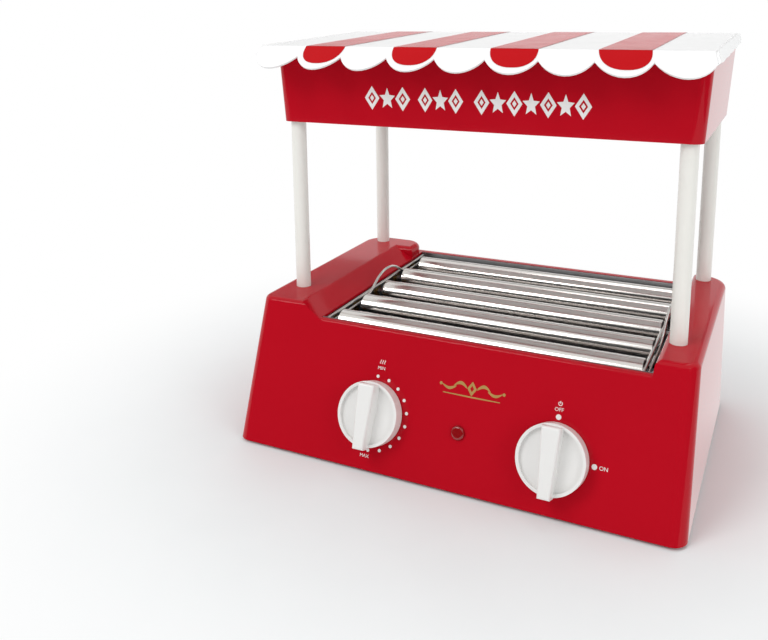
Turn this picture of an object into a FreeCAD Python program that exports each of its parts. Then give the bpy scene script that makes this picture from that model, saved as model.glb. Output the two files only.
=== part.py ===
"""Countertop hot dog roller grill with a striped canopy on four posts, as a parametric assembly.

Frame: +Z up, the front panel faces -Y, +X is to the right when facing the front. The origin is on the
table, under the middle of the whole object. Lengths are in millimetres.
"""
import FreeCAD, Part
import math
import os
import re
import Sketcher

# ---------------------------------------------------------------- driving sizes
SIZES = (
    # placing of the whole: midway between the front and back posts, and the gap under the housing
    ("post_plane", 36.61),
    ("foot_height", 2.5),
    # housing: heights are above its lower edge, reaches are from the middle of the posts
    ("body_width", 396.5),
    ("top_width", 392.0),
    ("body_height", 124.5),
    ("rim_height", 113.0),
    ("front_reach", 175.5),
    ("back_reach", 105.5),
    ("face_setback", 45.5),
    ("shell_wall", 2.5),
    ("front_corner_radius", 12.0),
    ("back_corner_radius", 24.0),
    ("crown_radius", 5.5),
    ("edge_radius", 3.0),
    # roller bay: the opening between the shoulders
    ("left_shoulder", 67.25),
    ("right_shoulder", 35.25),
    ("left_lean", 21.5),
    ("right_lean", 1.0),
    ("front_rim", 46.0),
    ("back_rim", 5.5),
    ("corner_pad_depth", 34.0),
    ("pad_corner_radius", 18.0),
    # rollers, their journals and bushings
    ("roller_diameter", 24.0),
    ("roller_wall", 1.0),
    ("roller_height", 102.0),
    ("front_gap", 22.5),
    ("left_gap", 10.2),
    ("right_gap", 10.7),
    ("journal_diameter", 6.0),
    ("plug_length", 12.0),
    ("bushing_diameter", 10.0),
    ("bushing_flange", 13.0),
    ("flange_thickness", 1.5),
    ("bushing_overhang", 6.2),
    ("running_clearance", 0.05),
    # sheet steel chassis
    ("plate_thickness", 1.2),
    ("plate_gap", 1.0),
    ("shield_thickness", 0.8),
    ("shield_gap", 1.5),
    ("flange_width", 11.0),
    ("flange_screw_inset", 45.0),
    ("sheet_clearance", 0.3),
    # gear train
    ("gear_module", 1.0),
    ("gear_teeth", 23.0),
    ("pinion_teeth", 15.0),
    ("gear_width", 6.0),
    ("gear_gap", 0.4),
    ("idler_bore", 4.0),
    ("pin_head", 7.0),
    # motor
    ("motor_diameter", 48.0),
    ("motor_depth", 18.0),
    ("motor_drop", 12.0),
    ("motor_shaft", 5.0),
    ("bracket_thickness", 1.5),
    ("bracket_gap", 4.0),
    ("bracket_leg", 6.0),
    ("leg_spread", 60.0),
    ("leg_rise", 28.0),
    # heating element
    ("element_diameter", 6.5),
    ("element_drop", 24.0),
    ("element_margin", 31.0),
    ("terminal_reach", 10.0),
    ("insulator_diameter", 10.0),
    ("insulator_length", 8.0),
    ("rest_width", 10.0),
    ("rest_thickness", 1.0),
    ("rest_spacing", 130.0),
    # wire guards over the roller ends: drops and rises are from the rim
    ("guard_rod", 3.0),
    ("guard_wire", 2.5),
    ("guard_drop", 3.0),
    ("left_guard_inset", 3.0),
    ("right_guard_inset", 8.7),
    ("wave_drop", 6.4),
    ("wave_rise", 11.0),
    ("wave_centre", -4.0),
    ("wave_half_length", 58.0),
    # drip tray and base
    ("base_thickness", 1.5),
    ("base_recess", 0.5),
    ("base_clearance", 1.0),
    ("tray_wall", 0.8),
    ("tray_depth", 18.0),
    ("tray_side_gap", 4.0),
    ("tray_front_gap", 3.5),
    ("tray_lift", 0.3),
    ("tray_panel_overlap", 8.0),
    ("tray_panel_height", 26.0),
    ("tray_panel_thickness", 2.0),
    ("slot_clearance", 1.5),
    ("pull_width", 70.0),
    ("pull_reach", 10.0),
    ("pull_thickness", 5.0),
    ("vent_length", 8.0),
    ("vent_width", 4.0),
    ("vent_pitch", 9.0),
    ("foot_diameter", 18.0),
    ("foot_inset", 34.0),
    ("lug_size", 15.0),
    ("lug_height", 12.0),
    ("screw_diameter", 3.0),
    ("screw_head", 6.0),
    ("screw_head_height", 1.6),
    # controls on the sloping face; heights are measured up the slope
    ("heater_height", 48.3),
    ("heater_x", -64.5),
    ("power_height", 44.6),
    ("power_x", 95.5),
    ("lamp_height", 47.4),
    ("lamp_x", 14.5),
    ("knob_diameter", 55.5),
    ("knob_rim", 12.0),
    ("knob_dish", 3.5),
    ("knob_lip", 2.5),
    ("knob_height", 22.0),
    ("grip_width", 15.5),
    ("grip_tip", 10.0),
    ("grip_inset", 0.5),
    ("grip_reach", 0.8),
    ("knob_gap", 1.0),
    ("control_shaft", 6.0),
    ("shaft_insert", 12.0),
    ("neck_diameter", 9.0),
    ("neck_fit", 0.2),
    ("control_width", 32.0),
    ("control_depth", 16.0),
    ("lens_diameter", 12.0),
    ("lens_rise", 3.0),
    ("lamp_diameter", 9.0),
    ("lamp_depth", 16.0),
    ("dial_radius", 31.6),
    ("heater_dot", 2.8),
    ("power_dot", 4.3),
    ("print_thickness", 0.3),
    # cord entry and terminal block
    ("gland_inset", 36.0),
    ("gland_height", 44.0),
    ("gland_body", 11.8),
    ("gland_flange", 17.0),
    ("gland_bore", 7.0),
    ("block_width", 18.0),
    ("block_length", 42.0),
    ("block_height", 15.0),
    ("block_margin", 4.0),
    # posts and canopy
    ("post_inset", 23.25),
    ("post_span_y", 176.0),
    ("post_diameter", 14.0),
    ("post_wall", 2.0),
    ("post_fit", 0.1),
    ("socket_depth", 15.0),
    ("socket_wall", 2.2),
    ("socket_floor", 3.0),
    ("insert_length", 14.0),
    ("canopy_height", 287.0),
    ("skirt_height", 63.7),
    ("skirt_side_gap", 0.6),
    ("skirt_front_gap", 1.0),
    ("skirt_back_gap", 0.6),
    ("skirt_flare", 4.0),
    ("skirt_rake", 2.0),
    ("skirt_wall", 2.0),
    ("skirt_corner", 9.0),
    ("ceiling_height", 21.0),
    ("ceiling_thickness", 2.0),
    ("top_socket_wall", 1.2),
    ("top_socket_depth", 13.0),
    ("ledge_size", 12.0),
    ("ledge_height", 8.0),
    # awning: its hems hang outside the skirt's upper edge
    ("awning_side_gap", 8.0),
    ("awning_overhang", 33.2),
    ("awning_tail", 13.0),
    ("hem_overlap", 11.2),
    ("hem_height", 18.2),
    ("fold_inset", 14.2),
    ("ridge_rise", 6.3),
    ("side_inset", 6.5),
    ("awning_wall", 2.0),
    ("scallop_depth", 9.7),
    ("side_lift", 8.6),
    ("side_scallop_depth", 2.5),
    ("side_rise", 1.5),
    ("seat_thickness", 3.0),
    ("stripe_margin", 5.5),
)
VALUE = dict(SIZES)

# Lengths that follow from the sizes: each is a sum of sizes, taken so many times.
DERIVED = (
    ("left_bay", (("body_width", 0.5), ("left_shoulder", -1))),
    ("right_bay", (("body_width", 0.5), ("right_shoulder", -1))),
    ("bay_front", (("front_reach", 1), ("front_rim", -1))),
    ("bay_back", (("back_reach", 1), ("back_rim", -1))),
    ("front_roller", (("bay_front", 1), ("front_gap", -1))),
    ("element_left", (("left_bay", 1), ("element_margin", -1))),
    ("element_right", (("right_bay", 1), ("element_margin", -1))),
    ("element_height", (("roller_height", 1), ("element_drop", -1))),
    ("guard_height", (("rim_height", 1), ("guard_drop", -1))),
    ("wave_low", (("rim_height", 1), ("wave_drop", -1))),
    ("wave_crest", (("rim_height", 1), ("wave_rise", 1))),
    ("post_span_x", (("body_width", 1), ("post_inset", -2))),
    ("skirt_ring", (("post_diameter", 0.5), ("post_fit", 1), ("top_socket_wall", 1), ("skirt_wall", 1))),
    ("skirt_width", (("post_span_x", 1), ("skirt_ring", 2), ("skirt_side_gap", 2))),
    ("skirt_front", (("post_span_y", 0.5), ("skirt_ring", 1), ("skirt_front_gap", 1))),
    ("skirt_back", (("post_span_y", 0.5), ("skirt_ring", 1), ("skirt_back_gap", 1))),
    ("awning_width", (("skirt_width", 1), ("skirt_flare", 2), ("awning_side_gap", 2))),
    ("awning_front", (("skirt_front", 1), ("awning_overhang", 1))),
    ("awning_back", (("skirt_back", 1), ("awning_tail", 1))),
    ("awning_hem", (("canopy_height", 1), ("skirt_height", 1), ("hem_overlap", -1))),
    ("fold_height", (("awning_hem", 1), ("hem_height", 1))),
)
MEANING = {}
for name, terms in DERIVED:
    VALUE[name] = sum(times * VALUE[size] for size, times in terms)
    MEANING[name] = "(" + " + ".join(f"{times} * {MEANING.get(size, size)}" for size, times in terms) + ")"

ROLLERS = 5
FRONT_SCALLOPS = 9
SIDE_SCALLOPS = 5
HEATER_DOTS = 10
HEATER_SWEEP = 180.0

document = FreeCAD.newDocument("RollerGrill")
sheet = document.addObject("Spreadsheet::Sheet", "Sizes")
for row, (alias, size) in enumerate(SIZES, start=1):
    sheet.set(f"A{row}", alias)
    sheet.set(f"B{row}", str(size))
    sheet.setAlias(f"B{row}", alias)
document.recompute()

parts = {}


# ---------------------------------------------------------------- expressions
def sized(text):
    """An expression in words, such as "post_span_x / 2", as one that reads the sheet."""
    plain = re.sub(r"\b[a-z]+(?:_[a-z]+)+\b", lambda word: MEANING.get(word[0], word[0]), str(text))
    return re.sub(r"\b([a-z]+(?:_[a-z]+)+)\b", r"Sizes.\1", plain)


def along_y(text):
    return f"(post_plane + ({text}))"


def above_base(text):
    return f"(foot_height + ({text}))"


def bind(item, **expressions):
    """Ties properties to the sheet; a double underscore in a name stands for a dot."""
    for name, text in expressions.items():
        item.setExpression(name.replace("__", "."), sized(text))
    return item


def place(item, corner):
    for axis, text in zip("xyz", corner):
        item.setExpression(f"Placement.Base.{axis}", sized(text))
    return item


TOP = above_base("body_height")
RIM = above_base("rim_height")
FACE_ANGLE = "atan(face_setback / body_height)"
FACE_RATIO = "(face_setback / body_height)"
PLATE_LEFT = "(-left_bay - plate_gap)"
PLATE_RIGHT = "(right_bay + plate_gap)"
PITCH = "(2 * gear_teeth * gear_module)"
PITCH_RADIUS = "(gear_teeth * gear_module / 2)"
PINION_RADIUS = "(pinion_teeth * gear_module / 2)"
AXIS_Z = above_base("roller_height")
GEAR_FACE = "(left_bay + plate_gap + plate_thickness + bushing_overhang + gear_gap)"
BASE_TOP = above_base("base_recess + base_thickness")
DRIVEN = ROLLERS // 2


def roller_y(index):
    return along_y(f"{index} * {PITCH} - front_roller")


# ---------------------------------------------------------------- solids
AXES = {
    "X": FreeCAD.Rotation(FreeCAD.Vector(0, 1, 0), 90),
    "Y": FreeCAD.Rotation(FreeCAD.Vector(1, 0, 0), -90),
    "Z": FreeCAD.Rotation(),
}


def box(name, size, corner):
    solid = document.addObject("Part::Box", name)
    bind(solid, Length=size[0], Width=size[1], Height=size[2])
    return place(solid, corner)


def cylinder(name, radius, length, base, axis="Z"):
    solid = document.addObject("Part::Cylinder", name)
    solid.Placement = FreeCAD.Placement(FreeCAD.Vector(), AXES[axis])
    bind(solid, Radius=radius, Height=length)
    return place(solid, base)


def fuse(name, items):
    joined = document.addObject("Part::MultiFuse", name)
    joined.Shapes = items
    return joined


def cut(name, base, tools):
    """base less every tool."""
    result = document.addObject("Part::Cut", name)
    result.Base = base
    result.Tool = tools[0] if len(tools) == 1 else fuse(name + "_tools", tools)
    return result


def group(name, items):
    """Separate solids that share one node, kept apart."""
    together = document.addObject("Part::Compound", name)
    together.Links = items
    return together


def part(label, item):
    """Registers a finished sub-part under its own label."""
    item.Label = label
    parts[label] = item
    return item


# ---------------------------------------------------------------- bodies and sketches
def body(name):
    return document.addObject("PartDesign::Body", name)


def sketch(owner, name, plane="XY_Plane", offset=("0", "0", "0")):
    drawing = owner.newObject("Sketcher::SketchObject", name)
    support = [item for item in owner.Origin.OriginFeatures if item.Role == plane][0]
    drawing.AttachmentSupport = [(support, "")]
    drawing.MapMode = "FlatFace"
    for axis, text in zip("xyz", offset):
        drawing.setExpression(f"AttachmentOffset.Base.{axis}", sized(text))
    return drawing


def polygon(drawing, corners):
    """A closed outline whose corners are tied to the sheet."""
    first = drawing.GeometryCount
    count = len(corners)
    for index in range(count):
        start = 2 * math.pi * index / count
        end = 2 * math.pi * (index + 1) / count
        drawing.addGeometry(Part.LineSegment(
            FreeCAD.Vector(math.cos(start), math.sin(start), 0),
            FreeCAD.Vector(math.cos(end), math.sin(end), 0)), False)
    for index in range(count):
        drawing.addConstraint(Sketcher.Constraint(
            "Coincident", first + index, 2, first + (index + 1) % count, 1))
    for index, corner in enumerate(corners):
        for kind, text in zip(("DistanceX", "DistanceY"), corner):
            number = drawing.addConstraint(Sketcher.Constraint(kind, -1, 1, first + index, 1, 1.0))
            drawing.setExpression(f"Constraints[{number}]", sized(text))
    return drawing


def rectangle(drawing, low_x, low_y, high_x, high_y):
    corners = ((low_x, low_y), (high_x, low_y), (high_x, high_y), (low_x, high_y))
    return polygon(drawing, corners)


def circle(drawing, radius, centre=("0", "0")):
    index = drawing.addGeometry(Part.Circle(FreeCAD.Vector(), FreeCAD.Vector(0, 0, 1), 1.0), False)
    number = drawing.addConstraint(Sketcher.Constraint("Radius", index, 1.0))
    drawing.setExpression(f"Constraints[{number}]", sized(radius))
    for kind, text in zip(("DistanceX", "DistanceY"), centre):
        number = drawing.addConstraint(Sketcher.Constraint(kind, -1, 1, index, 3, 1.0))
        drawing.setExpression(f"Constraints[{number}]", sized(text))
    return drawing


def pad(owner, drawing, length, reverse=False, midplane=False):
    feature = owner.newObject("PartDesign::Pad", drawing.Name + "_pad")
    feature.Profile = drawing
    bind(feature, Length=length)
    feature.Reversed = reverse
    feature.Midplane = midplane
    drawing.Visibility = False
    return feature


def pocket(owner, drawing, length, reverse=False, midplane=False):
    """Cuts the sketch's outline out of the body and makes sure that something was cut."""
    before = owner.Shape.Volume
    feature = owner.newObject("PartDesign::Pocket", drawing.Name + "_pocket")
    feature.Profile = drawing
    bind(feature, Length=length)
    feature.Reversed = reverse
    feature.Midplane = midplane
    document.recompute()
    if owner.Shape.Volume >= before:
        raise RuntimeError(feature.Name + " cuts nothing")
    return feature


def tapered_block(name, side_view, half, low, high):
    """Body with the given side view and leaning ends; half gives the half width at a height."""
    block = body(name)
    profile = polygon(sketch(block, name + "_side_view", "YZ_Plane"), side_view)
    pad(block, profile, f"2 * ({half(low)} + {half(high)})", midplane=True)
    document.recompute()
    under = f"({low} - 5)"
    over = f"({high} + 5)"
    far = f"({half(under)} + {half(over)})"
    for side, sign in (("left", "-1"), ("right", "1")):
        trim = polygon(sketch(block, f"{name}_{side}_lean", "XZ_Plane"), (
            (f"{sign} * ({half(under)})", above_base(under)), (f"{sign} * {far}", above_base(under)),
            (f"{sign} * {far}", above_base(over)), (f"{sign} * ({half(over)})", above_base(over))))
        pocket(block, trim, "4 * (front_reach + back_reach)", midplane=True)
    return block


def round_edges(owner, chosen, radius, name):
    """Rounds the edges of the body's tip that the test picks."""
    document.recompute()
    tip = owner.Tip
    names = [f"Edge{number}" for number, edge in enumerate(tip.Shape.Edges, start=1) if chosen(edge)]
    if not names:
        raise RuntimeError(name + " finds no edge")
    feature = owner.newObject("PartDesign::Fillet", name)
    feature.Base = (tip, names)
    bind(feature, Radius=radius)
    document.recompute()
    return feature


def ends(edge):
    return [vertex.Point for vertex in edge.Vertexes]


def level(edge, height, slack=0.01):
    return all(abs(point.z - height) < slack for point in ends(edge))


# ---------------------------------------------------------------- housing
def half_width(height):
    """Half the housing's outer width at a height above its lower edge."""
    return f"(body_width / 2 - (body_width - top_width) / 2 * ({height}) / body_height)"


def half_cavity(height):
    return f"({half_width(height)} - shell_wall)"


def face_y(height, inset="0"):
    """Where the sloping front face is at a height above the housing's lower edge."""
    return along_y(f"-front_reach + {FACE_RATIO} * ({height}) + {inset} / cos({FACE_ANGLE})")


def housing_side(low, high, inset):
    back = along_y(f"back_reach - {inset}")
    return ((face_y(low, inset), above_base(low)), (back, above_base(low)),
            (back, above_base(high)), (face_y(high, inset), above_base(high)))


def bay_profile(drawing, floor, left_foot, right_foot, wall):
    """Trapezoid of the gap between the two shoulders, seen from the front, grown by a wall."""
    over = "(body_height + 5)"
    rise = "(body_height - rim_height)"

    def lean(size):
        slant = f"sqrt({size} ^ 2 + {rise} ^ 2) / {rise}"
        return f"{size} * ({over} - rim_height) / {rise} + {wall} * {slant}"

    return polygon(drawing, (
        (f"-({left_foot})", floor), (right_foot, floor),
        (f"right_bay + {lean('right_lean')}", above_base(over)),
        (f"-left_bay - ({lean('left_lean')})", above_base(over))))


def upright_edges(low, high, back):
    """Picks the corner edges between two heights, at the back or at the front."""

    def chosen(edge):
        heights = sorted(point.z for point in ends(edge))
        spans = abs(heights[0] - low) < 0.01 and abs(heights[-1] - high) < 0.01
        return spans and (edge.CenterOfMass.y > VALUE["post_plane"]) == back

    return chosen


def housing_outside():
    """Outer form: sloping front, two raised shoulders and a lower rim round the roller bay."""
    form = tapered_block("housing_outside", housing_side("0", "body_height", "0"),
                         half_width, "0", "body_height")
    low = VALUE["foot_height"]
    top = low + VALUE["body_height"]
    round_edges(form, upright_edges(low, top, False), "front_corner_radius", "front_corner_rounds")
    round_edges(form, upright_edges(low, top, True), "back_corner_radius", "back_corner_rounds")
    bay = bay_profile(sketch(form, "bay", "XZ_Plane"), RIM, "left_bay", "right_bay", "0")
    pocket(form, bay, "3 * (front_reach + back_reach)", midplane=True)
    pad_corner = sketch(form, "corner_pad", offset=("0", "0", RIM))
    rectangle(pad_corner, "-left_bay - left_lean - 1", along_y("back_reach - corner_pad_depth"),
              "-left_bay", along_y("back_reach"))
    pad(form, pad_corner, "body_height - rim_height")
    rim = low + VALUE["rim_height"]

    def pad_edge(edge):
        heights = sorted(point.z for point in ends(edge))
        spans = abs(heights[0] - rim) < 0.01 and abs(heights[-1] - top) < 0.01
        outside = edge.CenterOfMass.x + VALUE["left_bay"]
        behind = edge.CenterOfMass.y - VALUE["post_plane"] - VALUE["back_reach"]
        return spans and abs(outside) < 0.01 and abs(behind) < 0.01

    round_edges(form, pad_edge, "pad_corner_radius", "pad_round")

    def crown(edge):
        return level(edge, top)

    round_edges(form, crown, "crown_radius", "shoulder_rounds")
    front = VALUE["post_plane"] - VALUE["front_reach"] / 2

    def rim_front(edge):
        long_enough = edge.Length > VALUE["right_bay"]
        return level(edge, rim) and long_enough and edge.CenterOfMass.y < front

    round_edges(form, rim_front, "edge_radius", "rim_round")
    return form


def housing_cavity():
    """Everything hollow: the main cavity with both shoulders, and the opening over the rollers."""
    ceiling = "(body_height - shell_wall)"
    main = tapered_block("housing_cavity", housing_side("-5", ceiling, "shell_wall"),
                         half_cavity, "-5", ceiling)
    low = VALUE["foot_height"] - 5
    high = VALUE["foot_height"] + VALUE["body_height"] - VALUE["shell_wall"]
    round_edges(main, upright_edges(low, high, False), "front_corner_radius - shell_wall",
                "front_cavity_rounds")
    round_edges(main, upright_edges(low, high, True), "back_corner_radius - shell_wall",
                "back_cavity_rounds")
    bay = bay_profile(sketch(main, "bay_shell", "XZ_Plane"), f"({RIM} - shell_wall)",
                      "left_bay + 0.6 * shell_wall", "right_bay + shell_wall", "shell_wall")
    pocket(main, bay, "3 * (front_reach + back_reach)", midplane=True)
    hollow = "(pad_corner_radius / 2)"
    inside_pad = box("inside_pad",
                     (f"left_lean - {hollow} + 3 * shell_wall", f"corner_pad_depth - {hollow} - shell_wall",
                      "body_height - rim_height"),
                     ("-left_bay - left_lean - 3 * shell_wall",
                      along_y("back_reach - corner_pad_depth + shell_wall"), f"{RIM} - shell_wall"))
    opening = box("bay_opening", ("left_bay + right_bay", "bay_front + bay_back", "shell_wall + 2"),
                  ("-left_bay", along_y("-bay_front"), f"{RIM} - shell_wall - 1"))
    return [main, inside_pad, opening]


POST_PLACES = {
    "post_front_left": ("-post_span_x / 2", "-post_span_y / 2"),
    "post_front_right": ("post_span_x / 2", "-post_span_y / 2"),
    "post_back_left": ("-post_span_x / 2", "post_span_y / 2"),
    "post_back_right": ("post_span_x / 2", "post_span_y / 2"),
}
POST_FOOT = above_base("body_height - socket_depth")
LUG_PLACES = {
    "lug_front_left": ("-1", "front"),
    "lug_front_right": ("1", "front"),
    "lug_back_left": ("-1", "back"),
    "lug_back_right": ("1", "back"),
}
GLAND_X = "(gland_inset - body_width / 2)"
LUG_X = "(body_width / 2 - shell_wall - lug_size / 2)"
LUG_FRONT = along_y(
    f"-front_reach + 2 * shell_wall + {FACE_RATIO} * lug_height + lug_size / 2 + front_corner_radius / 2 - 1")
LUG_BACK = along_y("back_reach - back_corner_radius - lug_size / 2 - 1")


def lug_centre(name):
    side, end = LUG_PLACES[name]
    return f"{side} * {LUG_X}", LUG_FRONT if end == "front" else LUG_BACK


def on_face(item, x_text, slope_text):
    """Stands an item on the sloping face: its own z points out of the face, its y up the slope."""
    item.Placement = FreeCAD.Placement(
        FreeCAD.Vector(), FreeCAD.Rotation(FreeCAD.Vector(1, 0, 0), 45))
    item.setExpression("Placement.Rotation.Angle", sized(f"90 deg - {FACE_ANGLE}"))
    return place(item, (
        x_text,
        along_y(f"-front_reach + ({slope_text}) * sin({FACE_ANGLE})"),
        above_base(f"({slope_text}) * cos({FACE_ANGLE})")))


def face_hole(name, radius, x_text, slope_text):
    """A drill square to the sloping face, centred on the shell's wall."""
    drill = cylinder(name + "_drill", radius, "4 * shell_wall", ("0", "0", "-2 * shell_wall"))
    return on_face(group(name, [drill]), x_text, slope_text)


def housing():
    """The shell with its post sockets, screw lugs and every hole that other pieces need."""
    shell = cut("housing_shell", housing_outside(), housing_cavity())
    solids = [shell]
    holes = []
    outer = "(post_diameter / 2 + post_fit + socket_wall)"
    for name, (x_text, y_text) in POST_PLACES.items():
        spot = (x_text, along_y(y_text))
        solids.append(cylinder(
            name + "_socket", outer, "socket_depth + socket_floor - shell_wall / 2",
            (*spot, f"{POST_FOOT} - socket_floor")))
        holes.append(cylinder(
            name + "_hole", "post_diameter / 2 + post_fit", "socket_depth + 5", (*spot, POST_FOOT)))
        holes.append(cylinder(
            name + "_screw_hole", "screw_diameter / 2 + post_fit", "socket_floor + 2",
            (*spot, f"{POST_FOOT} - socket_floor - 1")))
    for name in LUG_PLACES:
        x_text, y_text = lug_centre(name)
        solids.append(box(
            name, ("lug_size + 1", "lug_size", "lug_height"),
            (f"{x_text} - (lug_size + 1) / 2", f"{y_text} - lug_size / 2", BASE_TOP)))
        holes.append(cylinder(
            name + "_hole", "screw_diameter / 2", "lug_height - 2", (x_text, y_text, BASE_TOP)))
    holes.append(box(
        "tray_slot",
        ("left_bay + right_bay + 2 * plate_gap - 2 * tray_side_gap + 2 * slot_clearance",
         "4 * shell_wall", "tray_depth + tray_lift + slot_clearance"),
        (f"{PLATE_LEFT} + tray_side_gap - slot_clearance",
         along_y("back_reach - 2.5 * shell_wall"), BASE_TOP)))
    holes.append(cylinder(
        "gland_hole", "gland_body / 2", "4 * shell_wall",
        (GLAND_X, along_y("back_reach - 2 * shell_wall"), above_base("gland_height")), "Y"))
    neck_hole = "neck_diameter / 2 + neck_fit"
    holes.append(face_hole("heater_hole", neck_hole, "heater_x", "heater_height"))
    holes.append(face_hole("power_hole", neck_hole, "power_x", "power_height"))
    holes.append(face_hole("lamp_hole", "lamp_diameter / 2 + neck_fit", "lamp_x", "lamp_height"))
    return part("housing", cut("housing", fuse("housing_solids", solids), holes))


# ---------------------------------------------------------------- base and feet
def base_plate():
    """Sheet that closes the housing from below, with vents and screw holes."""
    under = above_base("base_recess")
    edge = "(body_width / 2 - shell_wall - base_clearance)"
    sheet_body = body("base_sheet")
    outline = sketch(sheet_body, "base_outline", offset=("0", "0", under))
    rectangle(outline, f"-{edge}", face_y("0", "(shell_wall + base_clearance)"),
              edge, along_y("back_reach - shell_wall - base_clearance"))
    pad(sheet_body, outline, "base_thickness")
    low = VALUE["foot_height"] + VALUE["base_recess"]
    for back, radius in ((False, "front_corner_radius"), (True, "back_corner_radius")):
        round_edges(sheet_body, upright_edges(low, low + VALUE["base_thickness"], back), radius,
                    f"base_rounds_{back}")
    tools = []
    for side, sign, bay in (("left", "-1", "left_bay"), ("right", "1", "right_bay")):
        middle = f"{sign} * ({bay} + plate_gap + plate_thickness + flange_width + {edge}) / 2"
        for row in range(8):
            tools.append(box(
                f"vent_{side}_{row}", ("vent_length", "vent_width", "3 * base_thickness"),
                (f"{middle} - vent_length / 2", along_y(f"{row - 4} * vent_pitch"),
                 above_base("base_recess - base_thickness"))))
    for name in LUG_PLACES:
        x_text, y_text = lug_centre(name)
        tools.append(cylinder(
            name + "_clear", "screw_diameter / 2 + post_fit", "3 * base_thickness",
            (x_text, y_text, above_base("base_recess - base_thickness"))))
    for name, (x_text, y_text) in flange_screws().items():
        tools.append(cylinder(
            name + "_clear", "screw_diameter / 2 + post_fit", "3 * base_thickness",
            (x_text, y_text, above_base("base_recess - base_thickness"))))
    return part("base_plate", cut("base_plate", sheet_body, tools))


def flange_screws():
    """Where the end plates' flanges are screwed to the base."""
    places = {}
    for side, x_text in (("left", f"{PLATE_LEFT} - plate_thickness - flange_width / 2"),
                         ("right", f"{PLATE_RIGHT} + plate_thickness + flange_width / 2")):
        for end, y_text in (("front", "-bay_front + flange_screw_inset"),
                            ("back", "bay_back - flange_screw_inset")):
            places[f"flange_{side}_{end}"] = (x_text, along_y(y_text))
    return places


def rubber_feet():
    feet = []
    for side, sign in (("left", "-1"), ("right", "1")):
        for end, y_text in (("front", "-front_reach + foot_inset"), ("back", "back_reach - foot_inset")):
            feet.append(cylinder(
                f"foot_{end}_{side}", "foot_diameter / 2", "foot_height + base_recess",
                (f"{sign} * (body_width / 2 - foot_inset)", along_y(y_text), "0")))
    return part("rubber_feet", group("rubber_feet", feet))


def screw(name, x_text, y_text, z_text, length):
    """Pan head screw driven upwards: z is the underside of what its head clamps."""
    head = cylinder(name + "_head", "screw_head / 2", "screw_head_height",
                    (x_text, y_text, f"{z_text} - screw_head_height"))
    shank = cylinder(name + "_shank", "screw_diameter / 2", length, (x_text, y_text, z_text))
    return fuse(name, [head, shank])


def chassis_screws():
    """Every screw of the housing and chassis: base, end plates, posts and motor bracket."""
    under = above_base("base_recess")
    screws = [screw(name + "_screw", *lug_centre(name), under, "base_thickness + 8")
              for name in LUG_PLACES]
    screws += [screw(name + "_screw", x_text, y_text, under, "base_thickness + plate_thickness + 3")
               for name, (x_text, y_text) in flange_screws().items()]
    screws += [screw(name + "_screw", x_text, along_y(y_text), f"({POST_FOOT} - socket_floor)",
                     "socket_floor + insert_length - 4")
               for name, (x_text, y_text) in POST_PLACES.items()]
    screws += [cylinder(name + "_screw", "screw_head / 2", "screw_head_height",
                        (f"-({MOTOR_FACE} + screw_head_height)", y_text, z_text), "X")
               for name, (y_text, z_text) in bracket_legs().items()]
    return part("chassis_screws", group("chassis_screws", screws))


# ---------------------------------------------------------------- chassis
PLATE_LENGTH = "(bay_front + bay_back - 2 * shield_gap)"
PLATE_FRONT = along_y("-bay_front + shield_gap")
PLATE_TOP = above_base("rim_height - shell_wall - sheet_clearance")


def end_plate(label, inner_x, outward):
    """Upright sheet with a foot flange, drilled for the bushings; outward is -1 left and 1 right."""
    outer_x = f"{inner_x} - plate_thickness" if outward < 0 else inner_x
    flange_x = f"{inner_x} - plate_thickness - flange_width" if outward < 0 else inner_x
    web = box(label + "_web", ("plate_thickness", PLATE_LENGTH, f"{PLATE_TOP} - {BASE_TOP}"),
              (outer_x, PLATE_FRONT, BASE_TOP))
    flange = box(label + "_flange", ("flange_width + plate_thickness", PLATE_LENGTH, "plate_thickness"),
                 (flange_x, PLATE_FRONT, BASE_TOP))
    start = f"{outer_x} - plate_thickness"
    holes = []
    for index in range(ROLLERS):
        holes.append(cylinder(f"{label}_bushing_hole_{index + 1}", "bushing_diameter / 2",
                              "3 * plate_thickness", (start, roller_y(index), AXIS_Z), "X"))
    if outward < 0:
        for index in range(ROLLERS - 1):
            holes.append(cylinder(f"{label}_pin_hole_{index + 1}", "idler_bore / 2",
                                  "3 * plate_thickness", (start, roller_y(index + 0.5), AXIS_Z), "X"))
    else:
        for index in (0, ROLLERS - 2):
            holes.append(cylinder(
                f"{label}_element_hole_{index}", "insulator_diameter / 2", "3 * plate_thickness",
                (start, roller_y(index + 0.5), above_base("element_height")), "X"))
    for name, (x_text, y_text) in flange_screws().items():
        if (outward < 0) == ("left" in name):
            holes.append(cylinder(f"{label}_{name}_hole", "screw_diameter / 2", "3 * plate_thickness",
                                  (x_text, y_text, f"{BASE_TOP} - plate_thickness")))
    return part(label, cut(label, fuse(label + "_sheet", [web, flange]), holes))


ROD_LEFT = "(-left_bay + left_guard_inset)"
ROD_RIGHT = "(right_bay - right_guard_inset)"


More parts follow.
